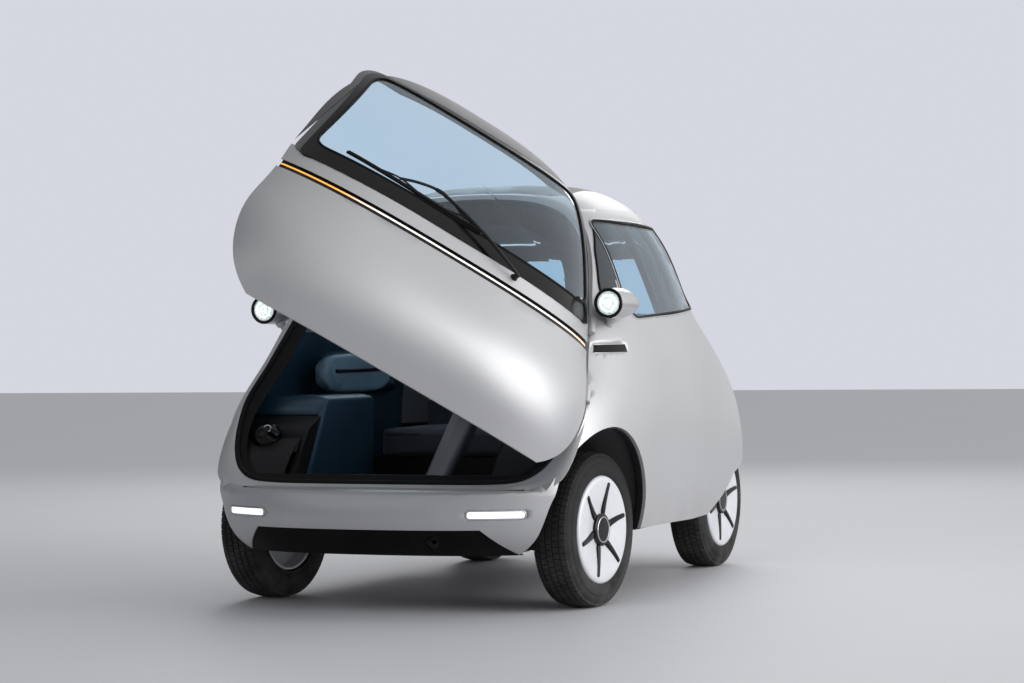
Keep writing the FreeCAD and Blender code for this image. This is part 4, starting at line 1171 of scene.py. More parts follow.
@dataclass
class BodyShell:
    """Painted body, roof, bumpers, glass and seals.

    Outlines of the opening are half outlines on its plane. The quarter panes' edges are given by height and distance
    behind the front axle.
    """

    window_bead: float = 0.006
    chrome_bead: float = 0.0025
    chrome_offset: float = 0.009
    chrome_lift: float = 0.001
    lamp_bead: float = 0.0035
    hoop_bead: float = 0.0105
    hoop_lift: float = -0.004
    hoop_inset: Pair = (0.010, 0.006)
    hoop_anchor: Pair = (0.6, -0.018)
    hoop_keep: float = 0.3
    head: Pairs = ((0.640, 0.400), (0.618, 0.484), (0.602, 0.576), (0.562, 0.779), (0.508, 0.977), (0.447, 1.095),
                   (0.379, 1.165), (0.284, 1.210), (0.201, 1.228), (0.111, 1.237), (0.0, 1.240))
    hoop_foot: Pairs = ((0.0, -0.034), (0.25, -0.034), (0.42, -0.032), (0.51, -0.021), (0.57, 0.020), (0.603, 0.075),
                        (0.626, 0.140), (0.642, 0.230), (0.647, 0.320))
    rim_foot: Pairs = ((0.0, -0.064), (0.25, -0.064), (0.42, -0.064), (0.59, -0.060), (0.655, -0.018), (0.676, 0.050),
                       (0.684, 0.128), (0.684, 0.230), (0.668, 0.320))
    rim_outset: float = 0.004
    rim_rows: Pairs = ((0.0, -0.006), (0.25, -0.001), (0.6, -0.002), (1.0, -0.014))
    quarter_front: Pairs = ((1.045, 0.190), (1.121, 0.226), (1.232, 0.303), (1.325, 0.398))
    quarter_rear: Pairs = ((1.045, 0.345), (1.10, 0.352), (1.20, 0.368), (1.28, 0.385), (1.325, 0.402))
    quarter_rows: int = 14
    quarter_shares: tuple[float, ...] = (0.0, 0.2, 0.4, 0.6, 0.8, 1.0)
    quarter_lift: float = 0.0022
    ray_start: float = 1.2
    ray_end: float = 0.2
    panel_x: float = 0.56
    quarter_bead: float = 0.004
    strip_bead: float = 0.0016
    strip_gap: float = 0.006
    strip_level: float = 0.0015
    ledge_z: float = 0.405
    squeeze: float = 0.036
    squeeze_rise: float = 0.10
    squeeze_width: float = 0.4

    def build(self, shop: Workshop) -> None:
        """Dresses the panels and adds the beads round glass and lamps.

        Args:
            shop: The workshop that makes the pieces.
        """
        shop.dress(PEARL, "side_panel_left", "side_panel_right", "roof_frame", "rear_bumper")
        shop.dress(ROOF, "roof_canopy")
        shop.dress(GLASS, "side_glass")
        shop.dress(SEAL, "opening_seal")
        shop.dress(GLOSS_BLACK, "side_strips", "window_bars")
        self.bumper(shop)
        self.hoop(shop)
        self.window_beads(shop)
        self.quarter_panes(shop)
        self.strip_lines(shop)
        self.lamp_beads(shop)

    def bumper(self, shop: Workshop) -> None:
        """Front bumper, drawn in above its ledge to clear the wheel arches.

        Args:
            shop: The workshop that makes the pieces.
        """
        shape = shop.copy("front_bumper")
        for vert in shape.verts:
            share = min(max(vert.co.z - self.ledge_z, 0.0) / self.squeeze_rise, 1.0)
            vert.co.x -= math.copysign(self.squeeze * share, vert.co.x) * min(abs(vert.co.x) / self.squeeze_width, 1.0)
        shop.piece("front_bumper_skin", shape, PEARL, replaces=("front_bumper",))

    def hoop(self, shop: Workshop) -> None:
        """Round rubber bead and silver rim that run right round the door opening.

        Args:
            shop: The workshop that makes the pieces.
        """
        inset, out = self.hoop_inset, self.rim_outset
        inner = [*self.hoop_foot, *((x - inset[0], up - inset[1]) for x, up in self.head)]
        outer = [*self.rim_foot, *((x + out, up + out) for x, up in self.head)]
        paths = [smooth_outline(half + [(-x, up) for x, up in reversed(half) if x > 0.02]) for half in (inner, outer)]
        made = shop.bead("opening_hoop", [opening_plane(x, up, self.hoop_lift) for x, up in paths[0]], self.hoop_bead,
                         SEAL, spacing=0.014, sides=14)
        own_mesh(made)
        rim = bmesh.new()
        rows = [[rim.verts.new(opening_plane(a[0] + (b[0] - a[0]) * share, a[1] + (b[1] - a[1]) * share, lift))
                 for a, b in zip(*paths)] for share, lift in self.rim_rows]
        for first, second in zip(rows, rows[1:]):
            bridge(rim, first, second)
        shop.piece("opening_rim", thickened(rim, 0.0, SHELL), PEARL)

    def window_beads(self, shop: Workshop) -> None:
        """Black gasket and a thin bright line round each side window.

        Args:
            shop: The workshop that makes the pieces.
        """
        loops = sharp_loops(shop.copy("side_glass"))
        for side, sign in SIDES:
            outer = max(on_side(loops, sign), key=lambda loop: middle_of(loop).x * sign)
            middle = middle_of(outer)
            shop.bead(f"window_gasket_{side}", outer, self.window_bead, SEAL)
            lift = Vector((self.chrome_lift * sign, 0.0, 0.0))
            wider = [p + (p - middle).normalized() * self.chrome_offset + lift for p in outer]
            shop.bead(f"window_bright_line_{side}", wider, self.chrome_bead, SILVER)

    def quarter_panes(self, shop: Workshop) -> None:
        """Dark front pane between each side window and the door opening, the right one mirrored.

        Rays from the side find the panel. Beside the opening, where they miss it, its nearest place is taken.

        Args:
            shop: The workshop that makes the pieces.
        """
        panel = shop.copy("side_panel_left")
        tree = BVHTree.FromBMesh(panel)
        panel.free()
        left = []
        for z in np.linspace(self.quarter_front[0][0], self.quarter_front[-1][0], self.quarter_rows):
            front, rear = (np.interp(z, *zip(*line)) for line in (self.quarter_front, self.quarter_rear))
            left.append([])
            for share in self.quarter_shares:
                start = vehicle(self.ray_start, front + (rear - front) * share, z)
                place, normal = tree.ray_cast(start, Vector((-1.0, 0.0, 0.0)))[:2]
                if place is None or place.x < self.ray_end:
                    place, normal = tree.find_nearest(Vector((self.panel_x, start.y, z)))[:2]
                left[-1].append(place + normal * self.quarter_lift)
        for side, sign in SIDES:
            places = [[Vector((p.x * sign, p.y, p.z)) for p in row] for row in left]
            pane = bmesh.new()
            rows = [[pane.verts.new(p) for p in row] for row in places]
            for pair in zip(rows, rows[1:]):
                bridge(pane, *pair[::int(sign)], closed=False)
            shop.piece(f"quarter_pane_{side}", thickened(pane, 0.0, SHELL), QUARTER)
            edge = [places[0][-1]] + [row[0] for row in places]
            shop.bead(f"quarter_bead_{side}", edge, self.quarter_bead, SEAL, closed=False, spacing=0.01)

    def strip_lines(self, shop: Workshop) -> None:
        """Fine bright lines along the upper and lower edge of each side strip.

        Args:
            shop: The workshop that makes the pieces.
        """
        strip = shop.copy("side_strips")
        for side, sign in SIDES:
            mine = [vert.co for vert in strip.verts if vert.co.x * sign > 0]
            for name, level in (("lower", min(p.z for p in mine)), ("upper", max(p.z for p in mine))):
                line: list[Vector] = []
                for place in sorted((p for p in mine if abs(p.z - level) < self.strip_level), key=lambda p: p.y):
                    if not line or place.y - line[-1].y >= self.strip_gap:
                        line.append(place.copy())
                    elif place.x * sign > line[-1].x * sign:
                        line[-1] = place.copy()
                shop.bead(f"strip_line_{name}_{side}", line, self.strip_bead, CHROME, closed=False, spacing=0.008)
        strip.free()

    def lamp_beads(self, shop: Workshop) -> None:
        """Day lamps with a raised rim.

        Args:
            shop: The workshop that makes the pieces.
        """
        shop.dress(DAYLIGHT, "daytime_lamps")
        loops = sharp_loops(shop.copy("daytime_lamps"))
        for side, sign in SIDES:
            front = min(on_side(loops, sign), key=lambda loop: middle_of(loop).y)
            shop.bead(f"day_lamp_rim_{side}", front, self.lamp_bead, SILVER, spacing=0.006)


@dataclass
class FrontDoor:
    """Front-opening door with its windscreen, light line and wiper.

    Each of the wiper's lines has its radius and its places by width, height and lift off the closed door.
    """

    line_half: float = 0.0026
    line_lift: float = 0.001
    strip_z: float = 0.888
    gasket: float = 0.005
    pane_lift: float = 0.001
    border_lift: float = 0.0028
    flange_lift: float = -0.002
    pane_depth: float = 0.005
    border_depth: float = 0.014
    flange_depth: float = 0.010
    pane_shares: tuple[float, ...] = (1.0, 0.985, 0.93, 0.8, 0.6, 0.35, 0.12)
    border_shares: tuple[float, ...] = (-0.04, 0.1, 0.4, 0.7, 0.94, 1.0)
    flange_shares: tuple[float, ...] = (-0.3, 0.0, 0.5, 1.0)
    pane: Outline = field(default_factory=lambda: Outline(
        [(-0.553, 1.005), (0.553, 1.005), (0.417, 1.376), (-0.417, 1.376)], [0.036, 0.036, 0.080, 0.080]))
    border: Outline = field(default_factory=lambda: Outline(
        [(-0.583, 0.950), (0.583, 0.950), (0.441, 1.388), (-0.441, 1.388)], [0.015, 0.015, 0.082, 0.082]))
    flange: Outline = field(default_factory=lambda: Outline(
        [(-0.603, 0.958), (0.603, 0.958), (0.460, 1.399), (-0.460, 1.399)], [0.02, 0.02, 0.090, 0.090]))
    spindle: Pair = (0.221, 0.934)
    spindle_lifts: Pair = (-0.006, 0.030)
    post: Pairs = ((0.0, 0.0), (0.0, 0.015), (0.010, 0.013), (0.016, 0.0095), (0.030, 0.0095), (0.033, 0.007),
                   (0.036, 0.0))
    joint_size: Place = (0.032, 0.020, 0.012)
    joint_places: tuple[Place, Place] = ((-0.125, 1.045, 0.026), (-0.2, 1.045, 0.026))
    wiper_lines: tuple[tuple[str, float, tuple[Place, ...]], ...] = (
        ("arm", 0.0062, ((0.221, 0.934, 0.024), (0.150, 0.958, 0.030), (0.060, 0.992, 0.030), (-0.040, 1.025, 0.028),
                         (-0.125, 1.046, 0.026))),
        ("bow", 0.0050, ((-0.015, 1.012, 0.019), (-0.070, 1.034, 0.026), (-0.130, 1.044, 0.028),
                         (-0.200, 1.034, 0.026), (-0.265, 1.018, 0.019))),
        ("inner_bow", 0.0030, ((0.040, 1.010, 0.013), (-0.015, 1.013, 0.020), (-0.080, 1.011, 0.013))),
        ("outer_bow", 0.0030, ((-0.200, 1.014, 0.013), (-0.265, 1.019, 0.020), (-0.330, 1.018, 0.013))),
        ("spine", 0.0044, ((0.050, 1.009, 0.0115), (-0.080, 1.010, 0.0115), (-0.200, 1.013, 0.0115),
                           (-0.330, 1.018, 0.0115), (-0.440, 1.024, 0.0115))),
        ("rubber", 0.0058, ((0.056, 1.008, 0.0075), (-0.080, 1.009, 0.0075), (-0.200, 1.012, 0.0075),
                            (-0.330, 1.017, 0.0075), (-0.446, 1.023, 0.0075))))

    def build(self, shop: Workshop) -> None:
        """Dresses the door's panels and adds its screen, line and wiper.

        Args:
            shop: The workshop that makes the pieces.
        """
        shop.dress(PEARL, "door_lower_panel", "door_belt_panel")
        shop.dress(PILLAR, "windscreen_frame")
        shop.dress(GLOSS_BLACK, "door_light_bar", slot=Slot.LIGHT_BAR)
        shop.dress(TRIM, "door_lining")
        self.light_line(shop)
        skin = Skin(shop, "windscreen_glass", "windscreen_border", "windscreen_frame")
        self.screen(shop, skin)
        self.wiper(shop, skin)

    def light_line(self, shop: Workshop) -> None:
        """Raised lit line along the middle of the black bar.

        Args:
            shop: The workshop that makes the pieces.
        """
        sheet = band(shop.copy("door_light_bar"), door_pose(vehicle(0.0, 0.0, self.strip_z)),
                     door_turned(Vector((0.0, 0.0, 1.0))), self.line_half, door_turned(Vector((0.0, -0.8, 0.3))))
        shop.piece("door_light_line", thickened(sheet, self.line_lift, SHELL), LIGHT_LINE, "door")

    def screen(self, shop: Workshop, skin: Skin) -> None:
        """Pane, black surround, flange and gasket, laid on the door's curved skin.

        Args:
            shop: The workshop that makes the pieces.
            skin: The closed door's skin.
        """
        rows = [self.pane.shrunk(factor) for factor in self.pane_shares]
        shop.piece("windscreen_pane", skin.slab(rows, self.pane_lift, self.pane_depth, filled=True), GLASS, "door",
                   ("windscreen_glass",))
        rows = [self.pane.towards(self.border, share) for share in self.border_shares]
        shop.piece("windscreen_surround", skin.slab(rows, self.border_lift, self.border_depth), GLOSS_BLACK, "door",
                   ("windscreen_border",))
        rows = [self.border.towards(self.flange, share) for share in self.flange_shares]
        shop.piece("windscreen_flange", skin.slab(rows, self.flange_lift, self.flange_depth), PILLAR, "door")
        edge = [skin.point(*place, self.border_lift - 0.001) for place in self.pane.points]
        shop.bead("windscreen_gasket", edge, self.gasket, SEAL, "door")

    def wiper(self, shop: Workshop, skin: Skin) -> None:
        """Wiper with its arm, three bows, a curved blade and its fittings.

        Args:
            shop: The workshop that makes the pieces.
            skin: The closed door's skin.
        """
        for name, radius, points in self.wiper_lines:
            shop.bead(f"wiper_{name}", skin.path(*points), radius, SEAL if name == "rubber" else BLACK, "door",
                      closed=False, spacing=0.008, replaces=("wiper",) if name == "arm" else ())
        foot, top = (skin.point(*self.spindle, lift) for lift in self.spindle_lifts)
        centre, onward = (skin.point(*place) for place in self.joint_places)
        post = placed(revolve(self.post, 24), standing(foot, top - foot))
        joint = placed(rounded_block(self.joint_size, 0.003), standing(centre, onward - centre))
        shop.piece("wiper_fittings", joined([post, joint]), BLACK, "door")


@dataclass
class Headlamps:
    """Egg-shaped lamp pods with lenses, bezels, brackets and mirrors.

    Each ring has its radius as a share of the lens's, its depth, its thickness and its finish.
    """

    centre: Vector = field(default_factory=lambda: vehicle(0.68, 0.066, 1.045))
    lens_radius: float = 0.046
    rings: tuple[tuple[str, float, float, float, Finish], ...] = (
        ("bezel", 0.047 / 0.046, 0.0, 0.0062, GLOSS_BLACK), ("ring", 0.62, -0.0065, 0.0030, BEAM),
        ("spot", 0.24, -0.0085, 0.0030, BEAM))

    def build(self, shop: Workshop) -> None:
        """Dresses the pods and adds bezels.

        Args:
            shop: The workshop that makes the pieces.
        """
        shop.dress(POD, "headlamp_pods")
        shop.dress(HEADLIGHT, "headlamp_lenses")
        shop.coat(PEARL, "headlamp_brackets")
        shop.dress(MIRROR, "wing_mirrors")
        for side, sign in SIDES:
            middle = Vector((self.centre.x * sign, self.centre.y, self.centre.z))
            for name, share, depth, thick, finish in self.rings:
                ring = [middle + Vector((x, depth, z)) for x, z in circle(self.lens_radius * share)]
                shop.bead(f"headlamp_{name}_{side}", ring, thick, finish, spacing=0.005)


@dataclass
class Wheel:
    """One wheel: tyre with tread blocks, domed cover, narrow spokes and a cap.

    Each row of tread has its place along the axle, its number of blocks and its shift in blocks. Outlines are given
    by place along the axle and radius: the sidewall from the tyre's half width and rim, the shoulder from its half
    width and top, the dome and the cap from their own faces.
    """

    name: str
    centre: Vector
    side: float
    turn: float = 0.0
    tyre_radius: float = 0.2666
    half_width: float = 0.0725
    rim: float = 0.170
    tread_rows: tuple[tuple[float, int, float], ...] = (
        (-0.050, 72, 0.0), (-0.025, 80, 0.5), (0.0, 80, 0.0), (0.025, 80, 0.5), (0.050, 72, 0.25))
    tread_depth: float = 0.006
    block_width: float = 0.0205
    sidewall: Pairs = ((-0.010, 0.0), (-0.004, 0.004), (-0.003, 0.012), (-0.006, 0.016), (-0.002, 0.021),
                       (0.0, 0.034), (0.0, 0.050), (-0.002, 0.058), (-0.004, 0.060), (-0.005, 0.072))
    shoulder: Pairs = ((-0.010, -0.010), (-0.018, -0.003), (-0.030, 0.0))
    barrel: Pairs = ((-0.0605, 0.170), (-0.0605, 0.156), (0.0, 0.148), (0.016, 0.07), (0.010, 0.05), (0.010, 0.02),
                     (0.050, 0.02), (0.050, 0.0))
    dome: Pairs = ((-0.002, 0.0), (-0.001, 0.048), (-0.002, 0.060), (-0.002, 0.072), (0.002, 0.095), (0.006, 0.120),
                   (0.009, 0.145), (0.011, 0.162), (0.011, 0.174), (0.009, 0.181), (0.004, 0.1855), (-0.002, 0.186),
                   (-0.004, 0.182), (-0.010, 0.171))
    cap: Pairs = ((-0.012, 0.0), (-0.012, 0.056), (0.001, 0.056), (0.004, 0.052), (0.0045, 0.044), (0.0055, 0.0))
    cap_ring: Pair = (0.0045, 0.043)
    spoke_angles: tuple[float, ...] = (75.0, 15.0, -45.0, -105.0, -165.0, 135.0)
    spoke_size: Place = (0.014, 0.019, 0.112)
    spoke_middle: float = 0.110

    def place(self) -> Matrix:
        """Matrix from the wheel's own axes, outer side at +X, to the car.

        Returns:
            The matrix.
        """
        flip = Matrix.Identity(4) if self.side > 0 else Matrix.Rotation(math.pi, 4, "Z")
        kingpin = Vector((KINGPIN_X * self.side, -ORIGIN_BEHIND_AXLE, 0.0))
        steer = Matrix.Translation(kingpin) @ Matrix.Rotation(self.turn, 4, "Z") @ Matrix.Translation(-kingpin)
        return (steer if self.turn else Matrix.Identity(4)) @ Matrix.Translation(self.centre) @ flip

    def build(self, shop: Workshop) -> None:
        """Makes the tyre, its tread, the cover, the spokes and the cap.

        Args:
            shop: The workshop that makes the pieces.
        """
        body, to_car = f"wheel_{self.name}", self.place()
        shop.piece(f"tyre_{self.name}_carcass", placed(revolve(self.tyre_outline(), 96), to_car), TYRE, body,
                   (f"tyre_{self.name}",))
        shop.piece(f"tread_{self.name}", placed(self.tread(shop), to_car), TYRE, body)
        face = self.half_width - 0.008
        cover = revolve(smooth_outline([*self.barrel, *((face + along, radius) for along, radius in self.dome)], 1), 72)
        shop.piece(f"wheel_{self.name}_cover", placed(cover, to_car), COVER, body, (body,))
        shop.piece(f"spokes_{self.name}", placed(self.spokes(), to_car), GLOSS_BLACK, body)
        face = self.half_width - 0.002
        disc = revolve([(face + along, radius) for along, radius in self.cap], 48)
        shop.piece(f"cap_{self.name}", placed(disc, to_car), GLOSS_BLACK, body)
        ring = [to_car @ Vector((face + self.cap_ring[0], y, z)) for y, z in circle(self.cap_ring[1])]
        shop.bead(f"cap_ring_{self.name}", ring, 0.0022, SILVER, body, spacing=0.006)

    def tyre_outline(self) -> list[Pair]:
        """Closed outline with a rounded shoulder, sidewall ribs and a rim bead.

        Returns:
            Place along the axle and radius of each point.
        """
        top = self.tyre_radius - self.tread_depth
        side = [(self.half_width + x, base + up) for base, rows in ((self.rim, self.sidewall), (top, self.shoulder))
                for x, up in rows]
        return side + [(0.0, top + 0.001)] + [(-x, r) for x, r in reversed(side)]

    def tread(self, shop: Workshop) -> BMesh:
        """Rows of tread blocks round the tyre, the outer rows' blocks sloping to the shoulder.

        Args:
            shop: The workshop that makes the pieces.

        Returns:
            All rows as one shape.
        """
        rows = []
        for along, count, shift in self.tread_rows:
            outer = abs(along) > 0.04
            long = math.tau * self.tyre_radius / count * 0.9
            block = rounded_block((self.block_width, self.tread_depth * 1.6, long), 0.0008, 1)
            for vert in block.verts:
                if outer and vert.co.x * along > 0:
                    vert.co.y -= 0.004
            source = bpy.data.objects.new("tread_block", as_mesh("tread_block", block))
            radius = self.tyre_radius - self.tread_depth * 0.8 - (0.0015 if outer else 0.0)
            mesh = shop.rings.run(bpy.data.meshes.new("tread_base"), TYRE, Block=source, Count=count, Radius=radius,
                                  Along=along, Start=shift * math.tau / count)
            row = bmesh.new()
            row.from_mesh(mesh)
            rows.append(row)
        return joined(rows)

    def spokes(self) -> BMesh:
        """Six narrow black bars let into the cover.

        Returns:
            All bars as one shape.
        """
        bars = []
        for angle in self.spoke_angles:
            bar = rounded_block(self.spoke_size, 0.006, 3)
            cut_long_edges(bar, 2, 0.05, 6)
            for vert in bar.verts:
                reach = vert.co.z / 0.052
                vert.co.y = vert.co.y * (1.10 - 0.20 * reach) + 0.003 * reach * reach
                vert.co.x += 0.0035 + 0.005 * reach
            turn = Matrix.Rotation(math.radians(angle - 90.0), 4, "X")
            bars.append(placed(bar, turn @ Matrix.Translation((self.half_width - 0.008, 0.0, self.spoke_middle))))
        return joined(bars)


@dataclass
class Cabin:
    """Seats, trims, steering and floor.

    Each box of the pocket has its lowest corner, its highest corner and its rounding, measured from the front axle.
    """

    seam_depth: float = 0.010
    seam_width: float = 0.010
    seams: tuple[float, ...] = (-0.5, 0.0, 0.5)
    crown: float = 0.018
    divisions: int = 40
    pocket_boxes: tuple[tuple[Place, Place, float], ...] = (
        ((-0.690, -0.030, 0.655), (-0.372, 0.345, 0.728), 0.033),
        ((-0.402, -0.020, 0.290), (-0.3705, 0.340, 0.722), 0.0145))
    dash_line: tuple[Place, ...] = ((0.11, 0.135, 0.740), (0.30, 0.135, 0.740), (0.50, 0.135, 0.740),
                                    (0.676, 0.135, 0.740))
    dash_radius: float = 0.023
    dome: Pairs = ((-0.02, 0.0), (-0.02, 0.055), (0.004, 0.055), (0.016, 0.048), (0.030, 0.034), (0.040, 0.020),
                   (0.043, 0.0))
    dome_place: Place = (-0.535, -0.185, 0.588)
    dome_way: Place = (0.15, -0.86, 0.42)
    rest_size: Place = (0.050, 0.56, 0.150)
    rest_place: Place = (0.577, 0.575, 0.802)
    # Size and place of the black block that paints the grip slot's shade
    grip_shade_size: Place = (0.016, 0.36, 0.014)
    grip_shade_place: Place = (0.550, 0.56, 0.812)

    def build(self, shop: Workshop) -> None:
        """Makes the seats and dresses the rest of the cabin.

        Args:
            shop: The workshop that makes the pieces.
        """
        shop.dress(TRIM, "side_trims")
        shop.dress(BLACK, "arch_covers")
        shop.dress(GREY, "steering_column")
        shop.dress(BLACK, "steering_wheel")
        shop.bead("dash_bar_left", [vehicle(*place) for place in self.dash_line], self.dash_radius, BLACK,
                  closed=False, spacing=0.03, sides=20, replaces=("dash_bar",), slot=Slot.GREY)
        self.pocket(shop)
        self.armrests(shop)
        shop.coat(BLACK, "seat_base", "floor_pan", "load_floor", "rear_bulkhead")
        self.cushion(shop, "seat_cushion", Vector((0.0, 0.0, 1.0)))
        self.cushion(shop, "seat_back", Vector((0.0, -1.0, 0.0)))

    def pocket(self, shop: Workshop) -> None:
        """Rounded box on the right arch cover, with a black dome and its ring beside it.

        Args:
            shop: The workshop that makes the pieces.
        """
        lean = (OPENING_HIGH[0] - OPENING_LOW[0]) / (OPENING_HIGH[1] - OPENING_LOW[1])
        boxes = []
        for low, high, edge in self.pocket_boxes:
            size = [b - a for a, b in zip(low, high)]
            box = rounded_block(size, edge, 4)
            for vert in box.verts:
                place = vert.co + vehicle(*((a + b) / 2 for a, b in zip(low, high)))
                place.y += (place.z - 0.735) * lean * (0.5 - vert.co.y / size[1]) * 0.72
                vert.co = place
            boxes.append(box)
        shop.piece("arch_pocket_box", joined(boxes), TRIM)
        turned = standing(vehicle(*self.dome_place), Vector(self.dome_way).normalized())
        shop.piece("arch_dome", placed(revolve(self.dome, 48), turned), GLOSS_BLACK)
        ring = [turned @ Vector((0.038, y + 0.012, z + 0.016)) for y, z in circle(0.013, 32)]
        shop.bead("arch_dome_ring", ring, 0.0025, SILVER, spacing=0.004)

    def armrests(self, shop: Workshop) -> None:
        """Pale oval armrest on each side, with a black block that paints the shade of its grip slot.

        Args:
            shop: The workshop that makes the pieces.
        """
        rests, grip_shades = [], []
        for _, sign in SIDES:
            rest = rounded_block(self.rest_size, 0.022, 4)
            cut_long_edges(rest, 1, 0.3, 24)
            for vert in rest.verts:
                vert.co.z *= math.sqrt(max(1.0 - abs(vert.co.y / 0.281) ** 5, 0.02))
            # Painted shade: a black block on the armrest's inner face stands for the shaded hollow of the grip slot
            slot = rounded_block(self.grip_shade_size, 0.006, 3)
            for shapes, shape, (x, y, z) in ((rests, rest, self.rest_place), (grip_shades, slot, self.grip_shade_place)):
                shapes.append(placed(shape, Matrix.Translation(vehicle(x * sign, y, z))))
        shop.piece("armrests", joined(rests), PALE_TRIM)
        shop.piece("armrest_slots", joined(grip_shades), BLACK)

    def cushion(self, shop: Workshop, node: str, front: Vector) -> None:
        """Crowned pad with sewn channels, shaped inside its CAD solid.

        Args:
            shop: The workshop.
            node: The CAD node that the pad stands for.
            front: The side that people touch.
        """
        low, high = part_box(node)
        shape = bmesh.new()
        bmesh.ops.create_cube(shape, size=1.0)
        bmesh.ops.subdivide_edges(shape, edges=shape.edges[:], cuts=self.divisions, use_grid_fill=True)
        size, middle = high - low, (low + high) / 2
        for vert in shape.verts:
            unit = vert.co * 2.0
            for axis in range(3):
                others = max(abs(unit[k]) for k in range(3) if k != axis)
                unit[axis] *= 1.0 - 0.10 * others ** 8 - 0.03 * others ** 3
            if unit.dot(front) > 0.5:
                inside = (1.0 - unit.x ** 2) * (1.0 - (unit.y if front.z else unit.z) ** 2)
                dip = -self.crown * (1.0 - max(inside, 0.0)) / max(size.dot(Vector(map(abs, front))), 0.01)
                for seam in self.seams:
                    near = abs(unit.x - seam) * size.x / 2
                    dip -= self.seam_depth / 0.12 * math.exp(-(near / self.seam_width) ** 2)
                unit += front * dip
            vert.co = Vector(unit[k] * size[k] / 2 for k in range(3)) + middle
            if node == "seat_back":
                lean = max((vert.co.z - low.z) / size.z - 0.2, 0.0) * 0.1
                vert.co.y = low.y + 0.001 + 0.1175 * (vert.co.y - low.y) / size.y + lean
        bmesh.ops.recalc_face_normals(shape, faces=shape.faces)
        pad = shop.piece(f"{node}_pad", shape, FABRIC, replaces=(node,), angle=math.pi)


@dataclass
class RearLid:
    """Rear lid with its glass and light bar."""

    gasket: float = 0.005

    def build(self, shop: Workshop) -> None:
        """Dresses the lid and adds a gasket round its glass.

        Args:
            shop: The workshop that makes the pieces.
        """
        shop.dress(PEARL, "rear_lid_frame")
        shop.dress(GLASS, "rear_glass")
        shop.dress(REAR_RED, "lid_light_bar")
        loops = sharp_loops(shop.copy("rear_glass"))[:2]
        outer = max(loops, key=lambda loop: middle_of(loop).y + middle_of(loop).z)
        shop.bead("rear_glass_gasket", outer, self.gasket, SEAL, "rear_lid")


class Chassis:
    """Running gear, grille and underside."""

    def build(self, shop: Workshop) -> None:
        """Finishes the steel, cast and black parts under the body.

        Args:
            shop: The workshop that makes the pieces.
        """
        shop.coat(STEEL, "front_suspension", "rear_axle", "rear_springs", "knuckle_left", "knuckle_right", "tow_tube")
        shop.coat(PEARL, "hinge_barrels")
        shop.coat(CAST, "battery_pack", "drive_motor")
        shop.coat(BLACK, "arch_liners")
        shop.dress(GRILLE, "lower_grille")


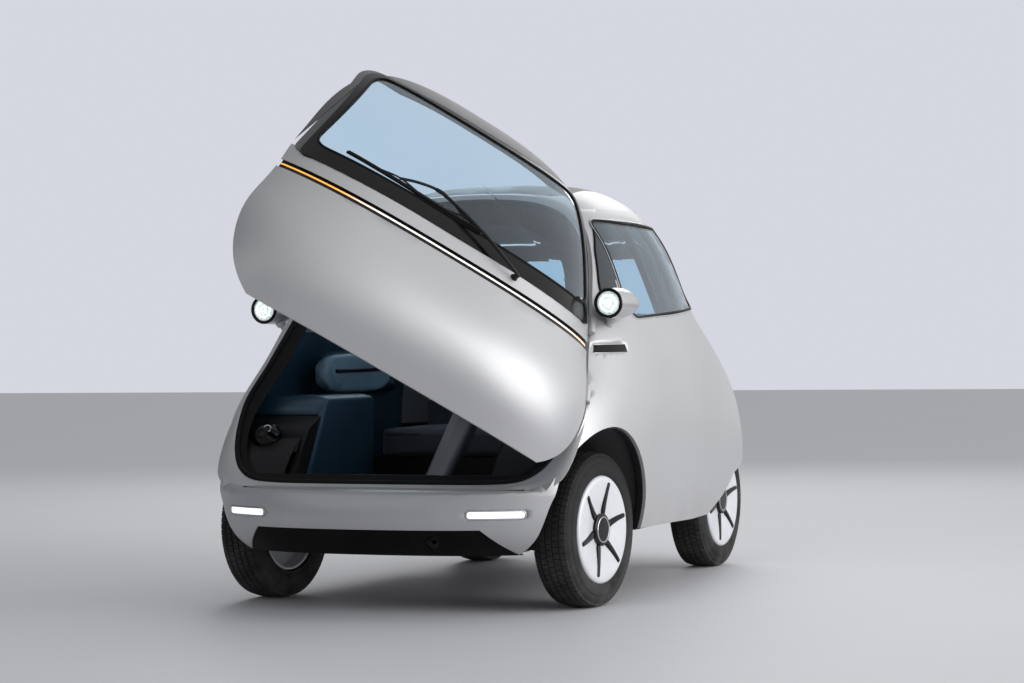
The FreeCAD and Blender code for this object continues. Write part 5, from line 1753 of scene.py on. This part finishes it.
@dataclass
class Studio:
    """Pale floor, soft light and the camera. Each lamp has its name, place, size and power."""

    floor_size: float = 60.0
    floor: Colour = (0.62, 0.62, 0.645)
    sky_dark: Colour = (0.16, 0.165, 0.18)
    sky_bright: Colour = (0.98, 0.99, 1.0)
    sky_seen: Colour = (0.66, 0.68, 0.75)
    light_way: Place = (0.90, 0.30, 0.16)
    lamps: tuple[tuple[str, Place, Pair, float], ...] = (
        ("key_light", (7.0, 0.4, 2.4), (6.0, 4.5), 270.0), ("fill_light", (-4.0, -7.0, 5.0), (6.0, 5.0), 40.0),
        ("back_light", (-2.0, 6.5, 4.5), (5.0, 2.5), 120.0))
    camera_place: Place = (3.9471, -8.6371, 0.9433)
    yaw: float = 0.4149
    pitch: float = -0.003
    roll: float = -0.014
    lens: float = 90.08

    def build(self) -> None:
        """Makes the floor, the world, the lamps and the camera."""
        self.make_floor()
        self.make_world()
        for name, place, size, power in self.lamps:
            data = bpy.data.lights.new(name, "AREA")
            data.shape, data.energy = "RECTANGLE", power
            data.size, data.size_y = size
            lamp = linked(name, data)
            lamp.location = place
            lamp.rotation_euler = (Vector((0.0, 0.0, 0.8)) - Vector(place)).to_track_quat("-Z", "Y").to_euler()
        self.make_camera()

    def make_floor(self) -> None:
        """Pale floor with faint variation."""
        shape = bmesh.new()
        bmesh.ops.create_grid(shape, x_segments=8, y_segments=8, size=self.floor_size / 2)
        floor = linked("floor", as_mesh("floor", shape))
        sheet = Sheet("stage_floor")
        pale = tuple(min(channel * 1.06, 1.0) for channel in self.floor)
        sheet.set(Base_Color=sheet.mix(sheet.noise(1.4, 6.0), self.floor, pale), Roughness=0.55)
        floor.data.materials.append(sheet.material)

    def make_world(self) -> None:
        """Sky that is brighter above and towards the car's left, and pale where it is seen."""
        world = bpy.data.worlds.new("studio")
        bpy.context.scene.world = world
        world.use_nodes = True
        tree = Tree(world.node_tree)
        world.node_tree.nodes.clear()
        way = tree.node("ShaderNodeTexCoord").outputs["Generated"]
        colour = tree.mix(tree.spread(tree.dot(way, self.light_way), -0.6, 0.95), self.sky_dark, self.sky_bright)
        ray = tree.node("ShaderNodeLightPath").outputs
        seen = tree.math("MAXIMUM", ray["Is Camera Ray"], ray["Is Transmission Ray"])
        light = tree.node("ShaderNodeBackground", {}, Color=tree.mix(seen, colour, self.sky_seen), Strength=1.0)
        tree.node("ShaderNodeOutputWorld", {}, Surface=light.outputs[0])

    def make_camera(self) -> None:
        """Camera fitted to the photograph."""
        level = math.cos(self.pitch)
        forward = Vector((-math.sin(self.yaw) * level, math.cos(self.yaw) * level, math.sin(self.pitch)))
        right = Vector((math.cos(self.yaw), math.sin(self.yaw), 0.0))
        up = right.cross(forward)
        across = right * math.cos(self.roll) + up * math.sin(self.roll)
        upright = up * math.cos(self.roll) - right * math.sin(self.roll)
        data = bpy.data.cameras.new("camera")
        data.lens, data.sensor_width, data.clip_end = self.lens, 36.0, 200.0
        camera = linked("camera", data)
        turn = Matrix((across, upright, -forward)).transposed().to_4x4()
        camera.matrix_world = Matrix.Translation(self.camera_place) @ turn
        bpy.context.scene.camera = camera


def corners(box: tuple[Vector, Vector]) -> list[list[float]]:
    """Lowest and highest corner as plain lists."""
    return [list(box[0]), list(box[1])]


def main() -> None:
    """Builds every sub-assembly round the CAD frame."""
    logging.basicConfig(level=logging.INFO, format="%(name)s: %(message)s")
    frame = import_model()
    bpy.context.scene.view_settings.view_transform = "Standard"
    shop = Workshop(frame)
    for part in (BodyShell(), FrontDoor(), Headlamps(), RearLid(), Cabin(), Chassis()):
        part.build(shop)
    for side, sign in SIDES:
        for end, (x, y), turn in (("front", FRONT_WHEEL, WHEEL_TURN), ("rear", REAR_WHEEL, 0.0)):
            Wheel(f"{end}_{side}", vehicle(x * sign, y, AXLE_Z), sign, turn).build(shop)
    Studio().build()
    LOG.info("%d pieces made", shop.count)


if __name__ == "__main__":
    main()
